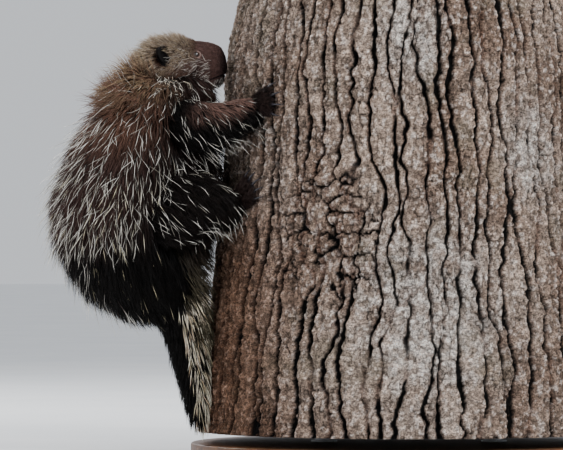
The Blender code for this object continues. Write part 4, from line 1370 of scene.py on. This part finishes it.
def curly_tones(s, angle, point, draw):
    pale = varied(mix(each(CREAM, s), GOLDEN, draw.random(len(s)) * 0.6), draw, 0.15)
    return each(DARK_BROWN, s), pale, pale, np.full(len(s), 0.35)


def fringe_tones(s, angle, point, draw):
    pale = mix(each(CREAM, s), OLIVE_GREY, draw.random(len(s)) * 0.4)
    return each(PLUM_BROWN, s), pale, pale, draw.uniform(0.60, 0.90, len(s))


def guard_hairs(flesh):
    """The thin pale hairs that stand over the whole coat, and the fringe along the back."""
    material = hair_material("pale_guard_hair", 0.42, 0.35)
    strands = Strands("pale_guard_hairs")
    draw = np.random.default_rng([SEED, 5])
    look = {
        "length": lambda s, angle, point: by_angle(angle, 0.094, 0.078, 0.045),
        "rise": lambda s, angle, point: 32 + 8 * ramp(np.cos(angle), 0, 1),
        "droop": 0.30,
        "weight": 0.26,
        "bend": 0.50,
        "sway": 0.34,
        "stray": 0.24,
        "curl": 0.40,
        "gather": 0.0,
    }
    size = (0.0009, 0.0014, 0.8)
    for k, (low, high) in enumerate(((0, 180), (-180, 0))):
        region = Region(FORMS["torso"], 0.5, 5.2, low, high)
        coat_batch(strands, region, flesh, draw, 560, 1, 0.001, look, size, pale_tones, 6, (k, 3))
    fringe = dict(look, rise=40, sway=0.15)
    fringe["length"] = lambda s, angle, point: 0.092 * (1 - 0.25 * ramp(s, 6.0, 8.0))
    region = Region(FORMS["torso"], 0.6, 7.6, -32, 32)
    coat_batch(strands, region, flesh, draw, 300, 1, 0.001, fringe, size, fringe_tones, 6, (2, 3))
    region = Region(FORMS["neck"], 0.0, 3.4)
    neck_look = dict(look, length=0.060, rise=40)
    coat_batch(strands, region, flesh, draw, 220, 1, 0.001, neck_look, size, pale_tones, 6, (2, 3))
    woolly = dict(look, length=0.042, rise=46, curl=1.5, turns=1.3, sway=0.8, weight=0.05, droop=0.1)
    for low, high in ((50, 110), (-110, -50)):
        region = Region(FORMS["neck"], 0.1, 1.6, low, high)
        coat_batch(strands, region, flesh, draw, 60, 1, 0.001, woolly, size, curly_tones, 8, (2, 3))
    strands.build(material, "coat", "torso", "neck")


def neck_tones(s, angle, point, draw):
    """The mane: dark brown below, gold towards the tips on the nape, plum brown at the throat."""
    turn, up = np.cos(angle), point[:, 2]
    tone = mix(body_tone(up, turn, draw), PLUM_BROWN, 0.7 * ramp(-turn, -0.2, 0.7))
    gold = ramp(turn, -0.1, 0.8) * ramp(up, 0.612, 0.665)
    tip = mix(tone * 1.4, varied(each(GOLDEN, s), draw, 0.25),
            gold * draw.uniform(0.1, 0.9, len(s)))
    return tone * 0.5, tone, tip, np.full(len(s), 0.5)


def neck_coat(flesh):
    strands = Strands("coat_neck")
    draw = np.random.default_rng([SEED, 6])
    look = {
        "length": lambda s, angle, point: by_angle(angle, 0.062, 0.046, 0.036),
        "rise": lambda s, angle, point: 28 + 24 * ramp(np.cos(angle), -0.2, 0.8) * (1 - ramp(s, 1.5, 3.0)),
        "droop": 0.22,
        "weight": 0.12,
        "bend": 0.45,
        "sway": 0.22,
        "stray": 0.16,
        "curl": 0.16,
        "gather": 0.25,
    }
    region = Region(FORMS["neck"], 0.2, 3.9)
    coat_batch(strands, region, flesh, draw, 1650, 5, 0.005, look, (0.0011, 0.0023, 0.6), neck_tones)
    strands.build(hair_material("mane_hair", 0.50, 0.16), "coat", "neck")


def belly_fringe(flesh):
    """Longer hair along the underside, which reaches over to the bark."""
    strands = Strands("coat_belly")
    draw = np.random.default_rng([SEED, 11])
    look = {
        "length": 0.058,
        "rise": 58,
        "droop": 0.50,
        "weight": 0.30,
        "bend": 0.35,
        "sway": 0.20,
        "stray": 0.14,
        "curl": 0.12,
        "gather": 0.30,
    }
    size = (0.0011, 0.0022, 0.6)
    region = Region(FORMS["torso"], 0.8, 8.6, 112, 248)
    coat_batch(strands, region, flesh, draw, 620, 4, 0.004, look, size, belly_tones, 3, (0, 3))
    region = Region(FORMS["tail"], 0.1, 2.4, 100, 260)
    coat_batch(strands, region, flesh, draw, 180, 4, 0.004, dict(look, length=0.042), size, belly_tones,
            3, (1, 3))
    region = Region(FORMS["neck"], 1.0, 3.8, 130, 230)
    coat_batch(strands, region, flesh, draw, 200, 4, 0.004, dict(look, length=0.040), size, belly_tones,
            3, (2, 3))
    strands.build(hair_material("belly_hair", 0.50, 0.14), "coat", "torso", "neck", "tail")


def belly_tones(s, angle, point, draw):
    low = ramp(0.40 - point[:, 2], 0.0, 0.10)
    tone = mix(np.tile(mix(BLACK_HAIR, DARK_BROWN, 0.5), (len(s), 1)), OLIVE_GREY * 0.6, low * 0.6)
    tone = varied(tone, draw, 0.35)
    return tone * 0.6, tone, tone * 1.4, np.full(len(s), 0.5)


def on_open_face(point):
    """Places that stay bare of tufts: the eyes' openings, the nostrils and the mouth."""
    bare = np.zeros(len(point), bool)
    for side in (1, -1):
        bare |= eye_reach(point, side)[0] < 1.55
        bare |= np.linalg.norm(point - mirrored(NOSTRIL_PLACE, side), axis=1) < 0.0045
    return bare | (mouth_distance(point)[0] < 0.0018)


def face_tones(s, angle, point, draw):
    tone = mix(each(MUZZLE_DARK, s), FACE_BROWN, ramp(s, 1.0, 3.4))
    tone = varied(tone, draw, 0.40)
    pale = (draw.random(len(s)) < 0.05) * ramp(s, 3.0, 4.5)
    tip = mix(tone * 1.6, paint(176, 156, 140), pale)
    return tone * 0.7, tone, tip, np.full(len(s), 0.4)


def crown_tones(s, angle, point, draw):
    """The crown: dark brown with golden tips on top, darker and greyer on the cheeks."""
    top = ramp(np.cos(angle), -0.35, 0.45)
    base = varied(np.tile(mix(DARK_BROWN, RED_BROWN, 0.5), (len(s), 1)), draw, 0.3)
    gold = varied(mix(each(GOLDEN, s), CREAM, draw.random(len(s)) * 0.6), draw, 0.25)
    tip = mix(base * 1.6, gold, top * draw.uniform(0.25, 1.0, len(s)) * ramp(s, 4.3, 5.6))
    return base * 0.6, base, tip, draw.uniform(0.30, 0.55, len(s))


def cheek_tones(s, angle, point, draw):
    pale = varied(mix(each(CREAM, s), FACE_BROWN, 0.2 + draw.random(len(s)) * 0.6), draw, 0.15)
    return each(FACE_BROWN, s), pale, pale, np.full(len(s), 0.35)


def white_tones(s, angle, point, draw):
    white = varied(each(WHITE_HAIR, s), draw, 0.06)
    return white * 0.6, white, white, np.full(len(s), 0.2)


def ear_tones(s, angle, point, draw):
    tone = varied(np.tile(mix(BLACK_HAIR, DARK_BROWN, 0.6), (len(s), 1)), draw, 0.4)
    return tone * 0.7, tone, tone * 1.5, np.full(len(s), 0.4)


def near_ear(point):
    near = np.zeros(len(point), bool)
    for side in (1, -1):
        near |= np.linalg.norm(point - mirrored(EAR_ROOT, side), axis=1) < EAR_HALF_WIDTH * 1.05
    return near


def crown_length(s, angle, point):
    """Short where it meets the brow and the cheeks, long towards the nape."""
    edge = 4.7 + 0.9 * (1 - np.maximum(np.cos(angle), 0))
    back = np.interp(s - edge, (0, 0.6, 1.6, 3.0), (0.008, 0.020, 0.030, 0.036))
    return back * by_angle(angle, 1.0, 0.80, 0.65)


def velvet_length(s, angle, point):
    """Shortest on the nose and round the eyes."""
    length = np.interp(s, (0, 2, 4, 5, 6), (0.0022, 0.0034, 0.0060, 0.0100, 0.0130))
    for side in (1, -1):
        length = length * (0.30 + 0.70 * ramp(eye_reach(point, side)[0], 1.6, 4.2))
    return length


def head_coat(flesh):
    """Velvet on the muzzle, longer hair to the cheeks, and the crown's upright tufts."""
    head = FORMS["head"]
    draw = np.random.default_rng([SEED, 7])
    velvet = {
        "length": velvet_length,
        "rise": 24,
        "droop": 0.10,
        "weight": 0.05,
        "bend": 0.6,
        "sway": 0.16,
        "stray": 0.16,
        "curl": 0.05,
        "gather": 0.3,
        "sink": 0.001,
        "bare": on_open_face,
    }
    face = Strands("coat_face")
    region = Region(head, 0.1, 6.2)
    coat_batch(face, region, flesh, draw, 3200, 4, 0.0014, velvet, (0.0005, 0.0009, 0.6), face_tones, 2)
    face.build(hair_material("face_hair", 0.60, 0.16), "face_fur", "head")

    crown = {
        "length": crown_length,
        "rise": lambda s, angle, point: 32 + 30 * ramp(np.cos(angle), 0, 1),
        "droop": 0.10,
        "weight": 0.04,
        "bend": 0.35,
        "sway": 0.22,
        "stray": 0.14,
        "curl": 0.12,
        "gather": 0.30,
        "bare": near_ear,
    }
    tufts = Strands("coat_crown")
    region = Region(head, 4.7, 8.0)
    coat_batch(tufts, region, flesh, draw, 1900, 4, 0.0030, crown, (0.0007, 0.0014, 0.6), crown_tones,
            3, (0, 3))
    for k, side in enumerate((1, -1)):
        form, _, _, _, facing = ear_form(side)
        back = form.frame(np.array((2.0,)))[2][0]
        low = 90 if back @ facing > 0 else -90
        region = Region(form, 0.4, 3.95, low, low + 180)
        look = dict(velvet, length=0.0055, rise=30)
        coat_batch(tufts, region, flesh, draw, 130, 4, 0.0014, look, (0.0005, 0.0009, 0.6), ear_tones,
                2, (k + 1, 3))
    tufts.build(hair_material("crown_hair", 0.50, 0.2), "face_fur", "head", "ear_right", "ear_left")

    bristles = Strands("pale_face_bristles")
    cheek = dict(velvet, length=0.022, rise=20, curl=0.30, sway=0.26, stray=0.15, weight=0.12, gather=0.0)
    cheek["sink"] = 0.002
    for k, side in enumerate((1, -1)):
        for start, end, low, high, count in ((3.2, 6.8, 80, 150, 130), (4.9, 6.4, 45, 85, 60)):
            region = Region(head, start, end, *sorted((low * side, high * side)))
            coat_batch(
                bristles, region, flesh, draw, count, 1, 0.001, cheek, (0.0005, 0.0008, 0.9),
                cheek_tones, 6, (k, 5)
            )
    chin = dict(cheek, length=0.015, droop=1.2, rise=44)
    region = Region(head, 0.8, 4.5, 130, 230)
    coat_batch(bristles, region, flesh, draw, 220, 1, 0.001, chin, (0.0005, 0.0008, 0.9), cheek_tones,
            4, (2, 5))
    dark_chin = dict(chin, length=0.013, gather=0.3, curl=0.1)
    coat_batch(bristles, region, flesh, draw, 240, 4, 0.002, dark_chin, (0.0006, 0.0011, 0.7),
            face_tones, 3, (3, 5))
    throat = dict(cheek, length=0.022, droop=0.6, rise=50)
    region = Region(FORMS["neck"], 0.8, 1.7, 140, 220)
    coat_batch(bristles, region, flesh, draw, 30, 6, 0.003, throat, (0.0009, 0.0014, 0.9), white_tones,
            4, (4, 5))
    bristles.build(hair_material("pale_bristles", 0.42, 0.3), "face_fur", "head", "neck")


def tail_dark(s, angle, point, draw):
    tone = varied(each(BLACK_HAIR, s), draw, 0.3)
    belly = ramp(-np.cos(angle), 0.45, 0.9)
    tip = mix(tone * 1.2, varied(each(OLIVE_GREY, s), draw), belly * 0.7)
    return tone * 0.7, mix(tone, OLIVE_GREY * 0.4, belly * 0.6), tip, np.full(len(s), 0.5)


def tail_pale(s, angle, point, draw):
    """Quills of the tail's sides: cream to rust, with short dark tips."""
    pale = mix(each(STRAW, s), RUST, draw.random(len(s)) ** 1.8)
    pale = varied(mix(pale, CREAM, draw.random(len(s)) * 0.7), draw, 0.2)
    return each(BLACK_HAIR, s), pale, pale * 0.8, draw.uniform(0.40, 0.75, len(s))


def rump_quill(s, angle, point, draw):
    pale = mix(each(STRAW, s), CREAM, draw.random(len(s)))
    middle = varied(pale, draw, 0.2)
    return each(BLACK_HAIR, s), middle, pale * 0.6, draw.uniform(0.60, 0.80, len(s))


def glint_tones(s, angle, point, draw):
    pale = each(STRAW, s)
    return each(BLACK_HAIR, s), pale, pale, draw.uniform(0.80, 0.90, len(s))


def tail_coat(flesh):
    tail = FORMS["tail"]
    strands = Strands("coat_tail")
    draw = np.random.default_rng([SEED, 8])
    look = {
        "length": lambda s, angle, point: by_angle(angle, 0.036, 0.032, 0.030) * (1 - 0.25 * ramp(s, 4, 6)),
        "rise": 30,
        "droop": 0.20,
        "weight": 0.10,
        "bend": 0.50,
        "sway": 0.14,
        "stray": 0.10,
        "curl": 0.08,
        "gather": 0.30,
    }
    region = Region(tail, 0.2, 5.9)
    coat_batch(strands, region, flesh, draw, 1300, 4, 0.004, look, (0.0011, 0.0022, 0.6), tail_dark)
    strands.build(hair_material("tail_hair", 0.48, 0.14), "quills", "tail")

    quills = Strands("quills")
    quill = dict(look, rise=24, bend=0.45, sway=0.12, stray=0.12, curl=0.05, gather=0.0, weight=0.05)
    quill["length"] = lambda s, angle, point: 0.052 * (1 - 0.25 * ramp(s, 4, 6))
    size = (0.0012, 0.0020, 0.9)
    for k, (low, high) in enumerate(((74, 150), (-150, -74))):
        region = Region(tail, 0.1, 5.9, low, high)
        coat_batch(quills, region, flesh, draw, 330, 1, 0.001, quill, size, tail_pale, 4, (k, 3))
    rump = dict(quill, rise=32, droop=0.35, weight=0.15, sway=0.25, stray=0.15)
    rump["length"] = lambda s, angle, point: by_angle(angle, 0.078, 0.068, 0.044)
    region = Region(FORMS["torso"], 3.3, 5.3)
    coat_batch(quills, region, flesh, draw, 330, 1, 0.001, rump, size, rump_quill, 5, (2, 3))
    region = Region(FORMS["torso"], 5.3, 8.8)
    glints = dict(rump, rise=24)
    coat_batch(quills, region, flesh, draw, 90, 1, 0.001, glints, (0.0009, 0.0013, 0.9), glint_tones, 5,
            (2, 3))
    quills.build(hair_material("quill_horn", 0.34, 0.45), "quills", "tail", "torso")


def foreleg_tones(s, angle, point, draw):
    """Brown above and black below; on the legs a half turn from zero is the upper side."""
    turn = np.cos(angle)
    brown = ramp(-turn, 0.0, 0.7) * ramp(s, 1.2, 3.0)
    tone = mix(each(BLACK_HAIR, s), paint(104, 80, 72), brown)
    tone = varied(tone, draw, 0.35)
    return tone * 0.6, tone, tone * 1.4, np.full(len(s), 0.4)


def hindleg_tones(s, angle, point, draw):
    tone = varied(np.tile(mix(BLACK_HAIR, DARK_BROWN, 0.3), (len(s), 1)), draw, 0.35)
    return tone * 0.6, tone, tone * 1.25, np.full(len(s), 0.5)


def leg_coats(flesh):
    """The legs: short above, with long hair that hangs below, and pale hairs among it."""
    pale = Strands("pale_leg_hairs")
    pale_draw = np.random.default_rng([SEED, 9])
    hanging = {
        "rise": 22,
        "droop": 0.9,
        "weight": 0.35,
        "bend": 0.6,
        "sway": 0.16,
        "stray": 0.12,
        "curl": 0.14,
        "gather": 0.30,
    }
    kinds = (
        ("foreleg", foreleg_tones, (0.054, 0.034, 0.016), 620, 0.50),
        ("hindleg", hindleg_tones, (0.044, 0.040, 0.036), 760, 0.45),
    )
    for leg, tones, lengths, count, shorter in kinds:
        strands = Strands("coat_" + leg + "s")
        draw = np.random.default_rng([SEED, count])
        for k, side in enumerate(("right", "left")):
            look = dict(hanging)
            look["length"] = lambda s, angle, point: (
                by_angle(angle, *lengths) * (1 - shorter * ramp(s, 3.6, 6.0))
            )
            region = Region(FORMS[f"{leg}_{side}"], 0.9, 5.9)
            coat_batch(strands, region, flesh, draw, count, 5, 0.004, look, (0.0011, 0.0022, 0.6),
                    tones, 3, (k, 2))
            long = dict(look, curl=0.26, sway=0.22, stray=0.16, gather=0.0, rise=30, weight=0.55)
            long["length"] = lambda s, angle, point: (
                by_angle(angle, *lengths) * 1.4 * (1 - 0.5 * ramp(s, 4.0, 6.0))
            )
            tile = (2 * (leg == "hindleg") + k, 4)
            size = (0.0008, 0.0012, 0.9)
            coat_batch(pale, region, flesh, pale_draw, 140, 1, 0.001, long, size, pale_tones, 6, tile)
        strands.build(hair_material(leg + "_hair", 0.50, 0.14), "coat", leg + "_right", leg + "_left")
    nodes = [f"{leg}_{side}" for leg in ("foreleg", "hindleg") for side in ("right", "left")]
    pale.build(hair_material("pale_leg_hair", 0.42, 0.35), "coat", *nodes)


def against_bark(point):
    return np.hypot(point[:, 0], point[:, 1]) < trunk_radius(point[:, 2]) + 0.003


def paw_tones(s, angle, point, draw):
    tone = varied(np.tile(mix(PAW_BROWN, PLUM_BROWN, 0.25), (len(s), 1)), draw, 0.4)
    return tone * 0.6, tone, tone * 1.5, np.full(len(s), 0.4)


def paw_coats(flesh):
    """Close fur over the backs of the paws and down to the claws."""
    strands = Strands("coat_paws")
    draw = np.random.default_rng([SEED, 10])
    look = {
        "rise": 28,
        "droop": 0.15,
        "weight": 0.10,
        "bend": 0.6,
        "sway": 0.20,
        "stray": 0.16,
        "curl": 0.10,
        "gather": 0.30,
        "sink": 0.0015,
        "bare": against_bark,
    }
    nodes, forms = [], []
    for name, side, fore_drop, hind_drop in SIDES:
        for paw, sizes, drop in (("forepaw", FOREPAW, fore_drop), ("hindfoot", HINDFOOT, hind_drop)):
            nodes.append(f"{paw}_{name}")
            palm, *digits = paw_forms(side, sizes, drop)
            forms.append((palm, 330, 0.016 if paw == "forepaw" else 0.022))
            forms += [(digit, 66, 0.010 if paw == "forepaw" else 0.013) for digit in digits]
    for tile, (form, count, length) in enumerate(forms):
        own = dict(look, length=length)
        region = Region(form, 0.1, 2.85)
        size = (0.0007, 0.0012, 0.6)
        coat_batch(strands, region, flesh, draw, count, 4, 0.0016, own, size, paw_tones, 2,
                (tile, len(forms)))
    strands.build(hair_material("paw_hair", 0.55, 0.14), "paw_skin", *nodes)


# The studio


def make_studio():
    """A pale floor, a pale surround, and soft light from above on both sides."""
    nothing_selected()
    bpy.ops.mesh.primitive_circle_add(vertices=96, radius=26, fill_type="NGON", location=(0, 0, 0))
    floor = bpy.context.object
    floor.name = "studio_floor"
    floor.data.materials.append(floor_material())
    world = bpy.data.worlds.new("studio")
    bpy.context.scene.world = world
    world.use_nodes = True
    background = world.node_tree.nodes["Background"]
    background.inputs["Color"].default_value = solid(paint(234, 238, 244))
    background.inputs["Strength"].default_value = 0.85
    soft_light("key", (2.4, -3.2, 3.0), 1.6, 210)
    soft_light("fill", (-3.2, -2.6, 1.9), 2.6, 50)
    soft_light("back", (-2.4, 2.6, 3.0), 2.0, 150)


def soft_light(name, place, size, power):
    light = bpy.data.lights.new(name, "AREA")
    light.shape = "DISK"
    light.size = size
    light.energy = power
    made = bpy.data.objects.new(name, light)
    bpy.context.scene.collection.objects.link(made)
    made.location = place
    aim = Vector(VIEW_MIDDLE) - Vector(place)
    made.rotation_euler = aim.to_track_quat("-Z", "Y").to_euler()


def make_camera():
    """A long lens, level with the frame's middle, far enough off to see the trunk's side flat."""
    camera = bpy.data.cameras.new("camera")
    camera.sensor_width = SENSOR_WIDTH
    camera.lens = SENSOR_WIDTH * CAMERA_DISTANCE / VIEW_WIDTH
    camera.clip_end = 100
    made = bpy.data.objects.new("camera", camera)
    bpy.context.scene.collection.objects.link(made)
    x, y, z = VIEW_MIDDLE
    made.location = (x, y - CAMERA_DISTANCE, z)
    made.rotation_euler = (math.pi / 2, 0, 0)
    bpy.context.scene.camera = made


make_camera()
make_studio()
make_stand()
make_trunk()
make_skin()
make_eyes()
make_claws()
flesh_forms = flesh_trees()
torso_coat(flesh_forms)
belly_fringe(flesh_forms)
neck_coat(flesh_forms)
head_coat(flesh_forms)
tail_coat(flesh_forms)
leg_coats(flesh_forms)
paw_coats(flesh_forms)
guard_hairs(flesh_forms)
